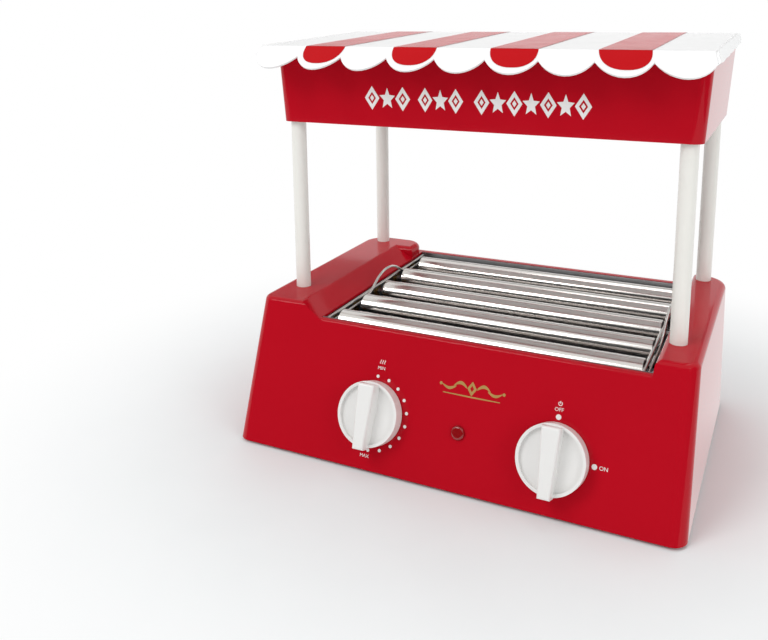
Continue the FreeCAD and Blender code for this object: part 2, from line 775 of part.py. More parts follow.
def heat_shield(label, y_text):
    """Upright sheet between the end plates; its narrower top shows inside the bay's rim."""
    low = box(label + "_low",
              (f"{PLATE_RIGHT} - ({PLATE_LEFT})", "shield_thickness",
               f"{PLATE_TOP} - {BASE_TOP} - tray_depth - 4"),
              (PLATE_LEFT, y_text, f"{BASE_TOP} + tray_depth + 4"))
    high = box(label + "_high",
               ("left_bay + right_bay - 2 * sheet_clearance", "shield_thickness",
                f"{RIM} - sheet_clearance - ({BASE_TOP}) - tray_depth - 4"),
               ("-left_bay + sheet_clearance", y_text, f"{BASE_TOP} + tray_depth + 4"))
    holes = [cylinder(f"{label}_{side}_rod_hole", "guard_rod / 2 + running_clearance",
                      "3 * shield_thickness",
                      (x_text, f"{y_text} - shield_thickness", above_base("guard_height")), "Y")
             for side, x_text in (("left", ROD_LEFT), ("right", ROD_RIGHT))]
    return part(label, cut(label, fuse(label + "_sheet", [low, high]), holes))


SHIELD_FRONT = along_y("-bay_front + shield_gap")
SHIELD_BACK = along_y("bay_back - shield_gap - shield_thickness")


# ---------------------------------------------------------------- rollers and gears
TUBE_LEFT = "(-left_bay + left_gap)"
TUBE_RIGHT = "(right_bay - right_gap)"


def roller_tube(index):
    label = f"roller_tube_{index + 1}"
    spot = (TUBE_LEFT, roller_y(index), AXIS_Z)
    length = f"{TUBE_RIGHT} - ({TUBE_LEFT})"
    outer = cylinder(label + "_outer", "roller_diameter / 2", length, spot, "X")
    inner = cylinder(label + "_bore", "roller_diameter / 2 - roller_wall", length, spot, "X")
    return part(label, cut(label, outer, [inner]))


def roller_journals(index):
    """End plugs with stub shafts; the left one carries the gear."""
    label = f"roller_journals_{index + 1}"
    y_text = roller_y(index)
    plug_radius = "roller_diameter / 2 - roller_wall"
    left_end = f"-({GEAR_FACE} + gear_width + 0.5)"
    left = fuse(label + "_left", [
        cylinder(label + "_left_plug", plug_radius, "plug_length", (TUBE_LEFT, y_text, AXIS_Z), "X"),
        cylinder(label + "_left_stub", "journal_diameter / 2",
                 f"{TUBE_LEFT} - ({left_end}) + plug_length / 2", (left_end, y_text, AXIS_Z), "X")])
    right_end = f"{PLATE_RIGHT} + plate_thickness + bushing_overhang + 1"
    right = fuse(label + "_right", [
        cylinder(label + "_right_plug", plug_radius, "plug_length",
                 (f"{TUBE_RIGHT} - plug_length", y_text, AXIS_Z), "X"),
        cylinder(label + "_right_stub", "journal_diameter / 2",
                 f"{right_end} - ({TUBE_RIGHT}) + plug_length / 2",
                 (f"{TUBE_RIGHT} - plug_length / 2", y_text, AXIS_Z), "X")])
    return part(label, group(label, [left, right]))


def plate_bushings(side, inner_x, outward):
    """Flanged bushings pressed into one end plate, flange on the roller side."""
    bushes = []
    for index in range(ROLLERS):
        name = f"bushing_{side}_{index + 1}"
        y_text = roller_y(index)
        if outward < 0:
            sleeve_x = f"{inner_x} - plate_thickness - bushing_overhang"
            flange_x = inner_x
        else:
            sleeve_x = inner_x
            flange_x = f"{inner_x} - flange_thickness"
        sleeve = cylinder(name + "_sleeve", "bushing_diameter / 2",
                          "plate_thickness + bushing_overhang", (sleeve_x, y_text, AXIS_Z), "X")
        flange = cylinder(name + "_flange", "bushing_flange / 2", "flange_thickness",
                          (flange_x, y_text, AXIS_Z), "X")
        bore = cylinder(name + "_bore", "journal_diameter / 2 + running_clearance", "20",
                        (f"{inner_x} - 10", y_text, AXIS_Z), "X")
        bushes.append(cut(name, fuse(name + "_solid", [sleeve, flange]), [bore]))
    return bushes


BACKLASH = 0.15
PRESSURE_ANGLE = math.radians(20)


def gear_outline(drawing, teeth, module, phase):
    """Closed outline of straight-flanked teeth; phase is the angle of one tooth's middle."""
    pitch_radius = teeth * module / 2
    tip = pitch_radius + 0.85 * module
    root = pitch_radius - 1.2 * module
    half = math.pi * module / 4 - BACKLASH * module
    points = []
    for number in range(int(teeth)):
        middle = phase + 2 * math.pi * number / teeth
        for radius, sign in ((root, -1), (tip, -1), (tip, 1), (root, 1)):
            thickness = half - (radius - pitch_radius) * math.tan(PRESSURE_ANGLE)
            turn = middle + sign * math.asin(thickness / radius)
            points.append(FreeCAD.Vector(radius * math.cos(turn), radius * math.sin(turn), 0))
    for index, point in enumerate(points):
        after = points[(index + 1) % len(points)]
        drawing.addGeometry(Part.LineSegment(point, after), False)
    return drawing


def gear(label, teeth, bore, phase, spot):
    """Spur gear whose axis lies along X; a tooth points to +Y when phase is zero."""
    blank = body(label)
    teeth_sketch = sketch(blank, label + "_teeth", "XY_Plane")
    gear_outline(teeth_sketch, teeth, VALUE["gear_module"], phase)
    circle(teeth_sketch, bore)
    pad(blank, teeth_sketch, "gear_width")
    # local x goes to +Y, local y to +Z and local z to +X
    axes = FreeCAD.Matrix(0, 0, 1, 0, 1, 0, 0, 0, 0, 1, 0, 0, 0, 0, 0, 1)
    blank.Placement = FreeCAD.Placement(axes)
    return place(blank, spot)


GEAR_X = f"-({GEAR_FACE} + gear_width)"
MOTOR_FACE = f"({GEAR_FACE} + gear_width + bracket_gap + bracket_thickness)"
PINION_Z = above_base(f"roller_height - {PITCH_RADIUS} - {PINION_RADIUS}")
MOTOR_Z = f"({PINION_Z} - motor_drop)"


def gear_train():
    """A gear on each roller, idlers between them, and the motor's pinion under the middle roller."""
    teeth = VALUE["gear_teeth"]
    step = 2 * math.pi / teeth
    # odd tooth counts put a gap opposite a tooth; even counts need every second gear turned half a tooth
    half_turn = 0 if int(teeth) % 2 else step / 2
    for index in range(ROLLERS):
        label = f"roller_gear_{index + 1}"
        part(label, gear(label, teeth, "journal_diameter / 2", 0.0, (GEAR_X, roller_y(index), AXIS_Z)))
    for index in range(ROLLERS - 1):
        label = f"idler_gear_{index + 1}"
        part(label, gear(label, teeth, "idler_bore / 2 + running_clearance", half_turn,
                         (GEAR_X, roller_y(index + 0.5), AXIS_Z)))
    down = -math.pi / 2
    nearest = round(down / step) * step
    lead = (nearest - down) * teeth / VALUE["pinion_teeth"]
    pinion_phase = math.pi / 2 - lead + math.pi / VALUE["pinion_teeth"]
    spot = (roller_y(DRIVEN), PINION_Z)
    toothed = gear("pinion_teeth_blank", VALUE["pinion_teeth"], "motor_shaft / 4", pinion_phase,
                   (GEAR_X, *spot))
    shaft = cylinder("pinion_shaft", "motor_shaft / 2",
                     f"{MOTOR_FACE} - sheet_clearance - {GEAR_FACE}",
                     (f"-{MOTOR_FACE} + sheet_clearance", *spot), "X")
    part("drive_pinion", fuse("drive_pinion", [toothed, shaft]))


def idler_pins():
    """Fixed pins for the idlers, with a collar against the plate and a head at the free end."""
    pins = []
    for index in range(ROLLERS - 1):
        name = f"idler_pin_{index + 1}"
        y_text = roller_y(index + 0.5)
        head_x = f"-({GEAR_FACE} + gear_width + gear_gap + 1)"
        stem = cylinder(name + "_stem", "idler_bore / 2", f"{PLATE_LEFT} - ({head_x})",
                        (head_x, y_text, AXIS_Z), "X")
        collar = cylinder(name + "_collar", "pin_head / 2", "bushing_overhang",
                          (f"-({GEAR_FACE} - gear_gap)", y_text, AXIS_Z), "X")
        head = cylinder(name + "_head", "pin_head / 2", "1", (head_x, y_text, AXIS_Z), "X")
        pins.append(fuse(name, [stem, collar, head]))
    return part("idler_pins", group("idler_pins", pins))


def bracket_legs():
    places = {}
    for row, rise in (("low", "-leg_rise / 2"), ("high", "leg_rise / 2")):
        for side, spread in (("front", "-leg_spread / 2"), ("back", "leg_spread / 2")):
            places[f"bracket_{row}_{side}"] = (f"{roller_y(DRIVEN)} + {spread}", f"{MOTOR_Z} + {rise}")
    return places


def motor():
    """Slow synchronous motor on a legged bracket outside the left end plate."""
    y_text = roller_y(DRIVEN)
    edge = "(bracket_leg / 2 + 4)"
    solids = [
        cylinder("motor_round", "motor_diameter / 2 + 1", "bracket_thickness",
                 (f"-{MOTOR_FACE}", y_text, MOTOR_Z), "X"),
        box("motor_strip",
            ("bracket_thickness", f"leg_spread + 2 * {edge}", f"leg_rise + 2 * {edge}"),
            (f"-{MOTOR_FACE}", f"{y_text} - leg_spread / 2 - {edge}",
             f"{MOTOR_Z} - leg_rise / 2 - {edge}"))]
    for name, spot in bracket_legs().items():
        solids.append(cylinder(name + "_leg", "bracket_leg / 2",
                               f"{MOTOR_FACE} + {PLATE_LEFT} - plate_thickness",
                               (f"-{MOTOR_FACE}", *spot), "X"))
    hole = cylinder("motor_shaft_hole", "motor_shaft / 2 + 1", "3 * bracket_thickness",
                    (f"-({MOTOR_FACE} + bracket_thickness)", y_text, PINION_Z), "X")
    part("gear_motor", cylinder("motor_can", "motor_diameter / 2", "motor_depth",
                                (f"-({MOTOR_FACE} + motor_depth)", y_text, MOTOR_Z), "X"))
    part("motor_bracket", cut("motor_bracket", fuse("motor_bracket_solid", solids), [hole]))


# ---------------------------------------------------------------- wires and heater
def swept(label, edges, radius, start, direction):
    """A round bar along a chain of straight runs and tangent arcs."""
    path = Part.Wire(edges)
    ring = Part.Wire([Part.Circle(start, direction, radius).toShape()])
    shape = path.makePipeShell([ring], True, False)
    if shape.isNull() or not shape.isValid():
        raise RuntimeError(label + " does not sweep")
    return shape


def heating_element():
    """Sheathed element: straight runs under the gaps between rollers, joined by half-circle bends."""
    pitch = 2 * VALUE["gear_teeth"] * VALUE["gear_module"]
    bend = pitch / 2
    z = VALUE["foot_height"] + VALUE["element_height"]
    first = VALUE["post_plane"] - VALUE["front_roller"] + pitch / 2
    rows = [first + index * pitch for index in range(ROLLERS - 1)]
    outer = VALUE["right_bay"] + VALUE["plate_gap"] + VALUE["plate_thickness"] + VALUE["terminal_reach"]
    reach = {"left": -VALUE["element_left"], "right": VALUE["element_right"], "end": outer}
    edges = []
    for index, y in enumerate(rows):
        at_right = "end" if index in (0, len(rows) - 1) else "right"
        high = FreeCAD.Vector(reach[at_right], y, z)
        low = FreeCAD.Vector(reach["left"], y, z)
        start, finish = (high, low) if index % 2 == 0 else (low, high)
        edges.append(Part.LineSegment(start, finish).toShape())
        if index + 1 < len(rows):
            side = -1 if index % 2 == 0 else 1
            middle = finish + FreeCAD.Vector(side * bend, bend, 0)
            edges.append(Part.Arc(finish, middle, finish + FreeCAD.Vector(0, pitch, 0)).toShape())
    element = document.addObject("Part::Feature", "heating_element")
    element.Shape = swept("heating_element", edges, VALUE["element_diameter"] / 2,
                          FreeCAD.Vector(outer, rows[0], z), FreeCAD.Vector(1, 0, 0))
    part("heating_element", element)

    insulators = []
    for index in (0, ROLLERS - 2):
        name = f"element_insulator_{index}"
        spot = (roller_y(index + 0.5), above_base("element_height"))
        sleeve = cylinder(name + "_sleeve", "insulator_diameter / 2", "insulator_length",
                          (f"{PLATE_RIGHT} - insulator_length / 2", *spot), "X")
        bore = cylinder(name + "_bore", "element_diameter / 2 + running_clearance",
                        "2 * insulator_length", (f"{PLATE_RIGHT} - insulator_length", *spot), "X")
        insulators.append(cut(name, sleeve, [bore]))
    part("element_insulators", group("element_insulators", insulators))

    rests = []
    for side, sign in (("left", -1), ("right", 1)):
        rests.append(box(
            f"element_rest_{side}",
            ("rest_width", f"{SHIELD_BACK} - ({SHIELD_FRONT}) - shield_thickness", "rest_thickness"),
            (f"{sign} * rest_spacing / 2 - rest_width / 2", f"{SHIELD_FRONT} + shield_thickness",
             above_base("element_height - element_diameter / 2 - rest_thickness"))))
    part("element_rests", group("element_rests", rests))


def wire_guard(label, rod_x, toward):
    """Straight rod with a wavy wire welded beside it, stopping food at the roller ends."""
    z = VALUE["foot_height"]
    low = z + VALUE["wave_low"]
    crest = z + VALUE["wave_crest"]
    middle = VALUE["post_plane"] + VALUE["wave_centre"]
    half = VALUE["wave_half_length"]
    rise = crest - low
    radius = (half ** 2 + rise ** 2) / (4 * rise)
    turn = math.asin(half / 2 / radius)
    sag = radius * (1 - math.cos(turn / 2))
    run = radius * math.sin(turn / 2)
    shield = VALUE["shield_gap"] + VALUE["shield_thickness"]
    front = VALUE["post_plane"] - VALUE["bay_front"] + shield
    back = VALUE["post_plane"] + VALUE["bay_back"] - shield
    offset = (VALUE["guard_rod"] + VALUE["guard_wire"]) / 2 - 0.05
    x = rod_x + toward * offset

    def at(y, height):
        return FreeCAD.Vector(x, y, height)

    knee_front = at(middle - half, low)
    joint_front = at(middle - half / 2, (low + crest) / 2)
    joint_back = at(middle + half / 2, (low + crest) / 2)
    knee_back = at(middle + half, low)
    edges = [
        Part.LineSegment(at(front, low), knee_front).toShape(),
        Part.Arc(knee_front, at(middle - half + run, low + sag), joint_front).toShape(),
        Part.Arc(joint_front, at(middle, crest), joint_back).toShape(),
        Part.Arc(joint_back, at(middle + half - run, low + sag), knee_back).toShape(),
        Part.LineSegment(knee_back, at(back, low)).toShape(),
    ]
    wave = document.addObject("Part::Feature", label + "_wave")
    wave.Shape = swept(label, edges, VALUE["guard_wire"] / 2, at(front, low), FreeCAD.Vector(0, 1, 0))
    rod_text = ROD_LEFT if rod_x < 0 else ROD_RIGHT
    rod = cylinder(label + "_rod", "guard_rod / 2", "bay_front + bay_back - 4 * sheet_clearance",
                   (rod_text, along_y("-bay_front + 2 * sheet_clearance"), above_base("guard_height")),
                   "Y")
    part(label, fuse(label, [wave, rod]))


# ---------------------------------------------------------------- drip tray
def drip_tray():
    """Shallow pan that slides out of the back on the base plate, with an outside panel and a pull."""
    tray = body("drip_tray")
    low_x = f"({PLATE_LEFT} + tray_side_gap)"
    high_x = f"({PLATE_RIGHT} - tray_side_gap)"
    front = along_y("-bay_front + shield_gap + tray_front_gap")
    back = along_y("back_reach + sheet_clearance")
    bottom = f"({BASE_TOP} + tray_lift)"
    pan = sketch(tray, "tray_outline", offset=("0", "0", bottom))
    rectangle(pan, low_x, front, high_x, back)
    pad(tray, pan, "tray_depth")
    inside = sketch(tray, "tray_inside", offset=("0", "0", f"{bottom} + tray_wall"))
    rectangle(inside, f"{low_x} + tray_wall", f"{front} + tray_wall", f"{high_x} - tray_wall",
              f"{along_y('back_reach - shell_wall')} - slot_clearance")
    document.recompute()
    pocket(tray, inside, "tray_depth", reverse=True)
    panel = sketch(tray, "tray_panel", "XZ_Plane", ("0", "0", f"-({back})"))
    rectangle(panel, f"{low_x} - tray_panel_overlap", above_base("base_recess"),
              f"{high_x} + tray_panel_overlap", above_base("base_recess + tray_panel_height"))
    pad(tray, panel, "tray_panel_thickness", reverse=True)
    pull = sketch(tray, "tray_pull", "XZ_Plane",
                  ("0", "0", f"-({back} + tray_panel_thickness)"))
    pull_z = above_base("base_recess + tray_panel_height / 2")
    rectangle(pull, "-pull_width / 2", f"{pull_z} - pull_thickness / 2",
              "pull_width / 2", f"{pull_z} + pull_thickness / 2")
    pad(tray, pull, "pull_reach", reverse=True)
    reach = VALUE["post_plane"] + VALUE["back_reach"] + VALUE["sheet_clearance"]
    reach += VALUE["tray_panel_thickness"] + VALUE["pull_reach"]

    def pull_end(edge):
        return all(abs(point.y - reach) < 0.01 for point in ends(edge))

    round_edges(tray, pull_end, "pull_thickness / 4", "pull_rounds")
    return part("drip_tray", tray)


# ---------------------------------------------------------------- controls
def knob(label, x_text, slope_text):
    """Disc with a raised rim, dished cheeks and a tapering grip bar that ends just past the rim."""
    cap = body(label)
    disc = sketch(cap, label + "_disc", offset=("0", "0", "knob_gap"))
    circle(disc, "knob_diameter / 2")
    pad(cap, disc, "knob_rim")
    document.recompute()
    dish = sketch(cap, label + "_dish", offset=("0", "0", "knob_gap + knob_rim"))
    circle(dish, "knob_diameter / 2 - knob_lip")
    pocket(cap, dish, "knob_dish")
    bar = sketch(cap, label + "_bar", offset=("0", "0", "knob_gap + knob_rim - knob_dish"))
    half_bar = "(sqrt((knob_diameter / 2) ^ 2 - (grip_width / 2) ^ 2) - grip_inset)"
    foot = "-(knob_diameter / 2 + grip_reach)"
    polygon(bar, (("-grip_tip / 2", foot), ("grip_tip / 2", foot),
                  ("grip_width / 2", half_bar), ("-grip_width / 2", half_bar)))
    pad(cap, bar, "knob_height - knob_rim + knob_dish")
    top = VALUE["knob_gap"] + VALUE["knob_height"]

    def bar_top(edge):
        return level(edge, top)

    round_edges(cap, bar_top, "grip_tip / 5", label + "_bar_rounds")
    socket = sketch(cap, label + "_socket", offset=("0", "0", "knob_gap"))
    circle(socket, "control_shaft / 2")
    pocket(cap, socket, "shaft_insert", reverse=True)
    on_face(cap, x_text, slope_text)
    return part(label, cap)


def control(prefix, body_label, x_text, slope_text, square):
    """Switch body behind the panel, with a threaded neck through it and a turning shaft."""
    depth = "(shell_wall + control_depth)"
    if square:
        case = box(body_label + "_case", ("control_width", "control_width", "control_depth"),
                   ("-control_width / 2", "-control_width / 2", f"-{depth}"))
    else:
        case = cylinder(body_label + "_case", "control_width / 2", "control_depth",
                        ("0", "0", f"-{depth}"))
    neck = cylinder(body_label + "_neck", "neck_diameter / 2", "shell_wall + knob_gap / 2",
                    ("0", "0", "-shell_wall"))
    bore = cylinder(body_label + "_bore", "control_shaft / 2 + running_clearance", f"{depth}",
                    ("0", "0", "-shell_wall - control_depth / 2"))
    case_solid = cut(body_label, fuse(body_label + "_solid", [case, neck]), [bore])
    part(body_label, on_face(case_solid, x_text, slope_text))
    shaft = cylinder(prefix + "_shaft_rod", "control_shaft / 2",
                     "control_depth / 2 - 1 + shell_wall + knob_gap + shaft_insert",
                     ("0", "0", "-shell_wall - control_depth / 2 + 1"))
    part(prefix + "_shaft", on_face(group(prefix + "_shaft", [shaft]), x_text, slope_text))


def indicator():
    """Red lens in the panel over a neon lamp."""
    lens_body = body("indicator_lens")
    flange = sketch(lens_body, "lens_flange")
    circle(flange, "lens_diameter / 2")
    pad(lens_body, flange, "lens_rise")
    stem = sketch(lens_body, "lens_stem")
    circle(stem, "lamp_diameter / 2")
    pad(lens_body, stem, "shell_wall + 2", reverse=True)
    top = VALUE["lens_rise"]

    def face_edge(edge):
        return level(edge, top)

    round_edges(lens_body, face_edge, "lens_rise * 0.8", "lens_dome")
    part("indicator_lens", on_face(lens_body, "lamp_x", "lamp_height"))
    lamp = cylinder("indicator_lamp_body", "lamp_diameter / 2", "lamp_depth",
                    ("0", "0", "-shell_wall - 2 - lamp_depth"))
    part("indicator_lamp", on_face(group("indicator_lamp", [lamp]), "lamp_x", "lamp_height"))


def dial_marks():
    """Printed dots: a half circle clockwise from the top for the heat, two places for the power."""
    marks = []
    step = HEATER_SWEEP / (HEATER_DOTS - 1)
    for index in range(HEATER_DOTS):
        turn = f"{index * step} deg"
        spot = (f"heater_x + dial_radius * sin({turn})", "0", "0")
        rise = f"heater_height + dial_radius * cos({turn})"
        dot = cylinder(f"heater_mark_{index}", "heater_dot / 2", "print_thickness", ("0", "0", "0"))
        marks.append(on_face(group(f"heater_dot_{index}", [dot]), spot[0], rise))
    for name, x_text, rise in (("off", "power_x", "power_height + dial_radius"),
                               ("on", "power_x + dial_radius", "power_height")):
        dot = cylinder(f"power_mark_{name}", "power_dot / 2", "print_thickness", ("0", "0", "0"))
        marks.append(on_face(group(f"power_dot_{name}", [dot]), x_text, rise))
    return part("dial_marks", group("dial_marks", marks))


def cord_gland():
    """Grommet in the back wall where the mains lead enters."""
    spot = (GLAND_X, above_base("gland_height"))
    back = along_y("back_reach")
    sleeve = cylinder("gland_sleeve", "gland_body / 2", "2 * shell_wall",
                      (spot[0], f"{back} - 2 * shell_wall", spot[1]), "Y")
    flange = cylinder("gland_collar", "gland_flange / 2", "shell_wall", (spot[0], back, spot[1]), "Y")
    bore = cylinder("gland_opening", "gland_bore / 2", "6 * shell_wall",
                    (spot[0], f"{back} - 3 * shell_wall", spot[1]), "Y")
    return part("cord_gland", cut("cord_gland", fuse("gland_solid", [sleeve, flange]), [bore]))


def terminal_block():
    """Three-way block on the base plate, inside the left shoulder."""
    x_text = f"({PLATE_LEFT} - plate_thickness - flange_width - block_margin - block_width)"
    start = "(block_length - bay_front)"
    block = box("block_case", ("block_width", "block_length", "block_height"),
                (x_text, along_y(start), BASE_TOP))
    wells = [cylinder(f"block_well_{index}", "block_width / 6", "block_height",
                      (f"{x_text} + block_width / 2",
                       along_y(f"{start} + block_length * {2 * index + 1} / 6"),
                       f"{BASE_TOP} + block_height / 2"))
             for index in range(3)]
    return part("terminal_block", cut("terminal_block", block, wells))


# ---------------------------------------------------------------- posts and canopy
CEILING_Z = above_base("canopy_height + ceiling_height")


def posts():
    inserts = []
    for label, (x_text, y_text) in POST_PLACES.items():
        spot = (x_text, along_y(y_text), POST_FOOT)
        length = f"{CEILING_Z} - sheet_clearance - ({POST_FOOT})"
        outer = cylinder(label + "_outer", "post_diameter / 2", length, spot)
        inner = cylinder(label + "_bore", "post_diameter / 2 - post_wall", length, spot)
        part(label, cut(label, outer, [inner]))
        plug = cylinder(label + "_plug", "post_diameter / 2 - post_wall", "insert_length", spot)
        pilot = cylinder(label + "_pilot", "screw_diameter / 2", "insert_length - 2", spot)
        inserts.append(cut(label + "_insert", plug, [pilot]))
    part("post_inserts", group("post_inserts", inserts))


def spread(size, height):
    """How far a side of the band leans out at a height above the band's lower edge."""
    return f"{size} * ({height}) / skirt_height"


def skirt_block(name, low, high, inset):
    """Band's outline, flaring upwards on all four sides; heights are above its lower edge."""

    def half(height):
        return f"(skirt_width / 2 + {spread('skirt_flare', f'{height} - canopy_height')} - {inset})"

    side = []
    for height in (low, high):
        z_text = above_base(f"canopy_height + {height}")
        lean = f"{spread('skirt_rake', height)} - {inset}"
        edge = [(along_y(f"-skirt_front - ({lean})"), z_text), (along_y(f"skirt_back + {lean}"), z_text)]
        side += edge if height == low else edge[::-1]
    return tapered_block(name, side, half, f"(canopy_height + {low})", f"(canopy_height + {high})")


def canopy_skirt():
    """Flared band under the awning, open at both ends, with four ledges for the ceiling."""
    outside = skirt_block("skirt_outside", "0", "skirt_height", "0")
    low = VALUE["foot_height"] + VALUE["canopy_height"]
    top = low + VALUE["skirt_height"]
    for back in (False, True):
        round_edges(outside, upright_edges(low, top, back), "skirt_corner", f"skirt_rounds_{back}")
    inside = skirt_block("skirt_inside", "(-5)", "(skirt_height + 5)", "skirt_wall")
    for back in (False, True):
        round_edges(inside, upright_edges(low - 5, top + 5, back), "skirt_corner - skirt_wall",
                    f"skirt_inner_rounds_{back}")
    band = cut("skirt_band", outside, [inside])
    ledge_z = f"{CEILING_Z} - ledge_height"
    solids = [band]
    holes = []
    for name, (x_text, y_text) in ledge_places().items():
        solids.append(box("ledge_" + name, ("ledge_size", "ledge_size", "ledge_height"),
                          (f"{x_text} - ledge_size / 2", f"{y_text} - ledge_size / 2", ledge_z)))
        holes.append(cylinder("ledge_hole_" + name, "screw_diameter / 2", "ledge_height - 2",
                              (x_text, y_text, f"{ledge_z} + 2")))
    return part("canopy_skirt", cut("canopy_skirt", fuse("skirt_solids", solids), holes))


def ledge_places():
    """Middles of the ledges: each is rooted halfway into the band's wall at its own height."""
    middle = "(ceiling_height - ledge_height / 2)"
    root = "skirt_wall / 2 - ledge_size / 2"
    side = f"(skirt_width / 2 + {spread('skirt_flare', middle)} - skirt_wall + {root})"
    lean = f"{spread('skirt_rake', middle)} - skirt_wall + {root}"
    return {
        "left": (f"-{side}", along_y("0")),
        "right": (side, along_y("0")),
        "front": ("0", along_y(f"-skirt_front - ({lean})")),
        "back": ("0", along_y(f"skirt_back + {lean}")),
    }


def canopy_ceiling():
    """Flat panel inside the skirt, with a socket for each post and screws into the ledges."""
    inset = "(skirt_wall + sheet_clearance)"
    half = f"(skirt_width / 2 + {spread('skirt_flare', 'ceiling_height')} - {inset})"
    lean = f"({spread('skirt_rake', 'ceiling_height')} - {inset})"
    panel = body("ceiling_panel")
    outline = sketch(panel, "ceiling_outline", offset=("0", "0", CEILING_Z))
    rectangle(outline, f"-{half}", along_y(f"-skirt_front - {lean}"),
              half, along_y(f"skirt_back + {lean}"))
    pad(panel, outline, "ceiling_thickness")
    low = VALUE["foot_height"] + VALUE["canopy_height"] + VALUE["ceiling_height"]
    for back in (False, True):
        round_edges(panel, upright_edges(low, low + VALUE["ceiling_thickness"], back), "skirt_corner",
                    f"ceiling_rounds_{back}")
    solids = [panel]
    holes = []
    for name, (x_text, y_text) in POST_PLACES.items():
        spot = (x_text, along_y(y_text))
        solids.append(cylinder(name + "_ring", "post_diameter / 2 + post_fit + top_socket_wall",
                               "top_socket_depth + ceiling_thickness / 2",
                               (*spot, f"{CEILING_Z} - top_socket_depth")))
        holes.append(cylinder(name + "_ring_bore", "post_diameter / 2 + post_fit", "top_socket_depth",
                              (*spot, f"{CEILING_Z} - top_socket_depth")))
    for name, (x_text, y_text) in ledge_places().items():
        holes.append(cylinder(
            "ceiling_hole_" + name, "screw_diameter / 2 + post_fit", "3 * ceiling_thickness",
            (x_text, y_text, f"{CEILING_Z} - ceiling_thickness")))
    part("canopy_ceiling", cut("canopy_ceiling", fuse("ceiling_solids", solids), holes))
    screws = []
    for name, (x_text, y_text) in ledge_places().items():
        top = f"({CEILING_Z} + ceiling_thickness)"
        head = cylinder(f"ceiling_{name}_head", "screw_head / 2", "screw_head_height",
                        (x_text, y_text, top))
        shank = cylinder(f"ceiling_{name}_shank", "screw_diameter / 2",
                         "ceiling_thickness + ledge_height - 3",
                         (x_text, y_text, f"{top} - ceiling_thickness - ledge_height + 3"))
        screws.append(fuse(f"ceiling_{name}_screw", [head, shank]))
    part("canopy_screws", group("canopy_screws", screws))


HEM_SLOPE = "(fold_inset / (fold_height - awning_hem))"
SIDE_SLOPE = "(side_inset / (fold_height - awning_hem))"
# the roof's line from the front fold to the back one: share of the way and share of the ridge's rise
ROOF_LINE = ((0, 0), (0.89, 1), (0.95, 0.75), (1, 0.25))


def roof_point(way, rise, inset="0"):
    """A point of the roof, which climbs gently to a ridge near the back and falls away behind it."""
    y_text = (f"-awning_front + fold_inset + {inset} + "
              f"{way} * (awning_front + awning_back - 2 * fold_inset - 2 * {inset})")
    return y_text, f"fold_height - {inset} + {rise} * ridge_rise"


def awning_block(name, drop, inset):
    """Solid of the whole awning with its hems; drop lets it run past the hems' lower edge."""
    hem = f"(awning_hem - {drop})"
    side = [
        (along_y(f"-awning_front + {inset} - {HEM_SLOPE} * {drop}"), above_base(hem)),
        (along_y(f"awning_back - {inset} + {HEM_SLOPE} * {drop}"), above_base(hem)),
    ]
    for way, rise in ROOF_LINE[::-1]:
        y_text, z_text = roof_point(way, rise, inset)
        side.append((along_y(y_text), above_base(z_text)))

    def half(height):
        return f"(awning_width / 2 - {inset} - {SIDE_SLOPE} * ({height} - awning_hem))"

    return tapered_block(name, side, half, hem, "(fold_height + 20)")


def scallop(name, length, chord, depth, corner, axis):
    """What is cut away under one scallop: a strip, less the roll that gives the scallop its edge."""
    radius = f"((({chord}) / 2) ^ 2 + {depth} ^ 2) / (2 * {depth})"
    x_text, y_text, z_text = corner
    if axis == "Y":
        size = (chord, length, f"{depth} + 10")
        centre = (f"{x_text} + ({chord}) / 2", y_text, f"{z_text} + {radius}")
    else:
        size = (length, chord, f"{depth} + 10")
        centre = (x_text, f"{y_text} + ({chord}) / 2", f"{z_text} + {radius}")
    strip = box(name + "_strip", size, (x_text, y_text, f"{z_text} - 10"))
    return cut(name, strip, [cylinder(name + "_roll", radius, length, centre, axis)])


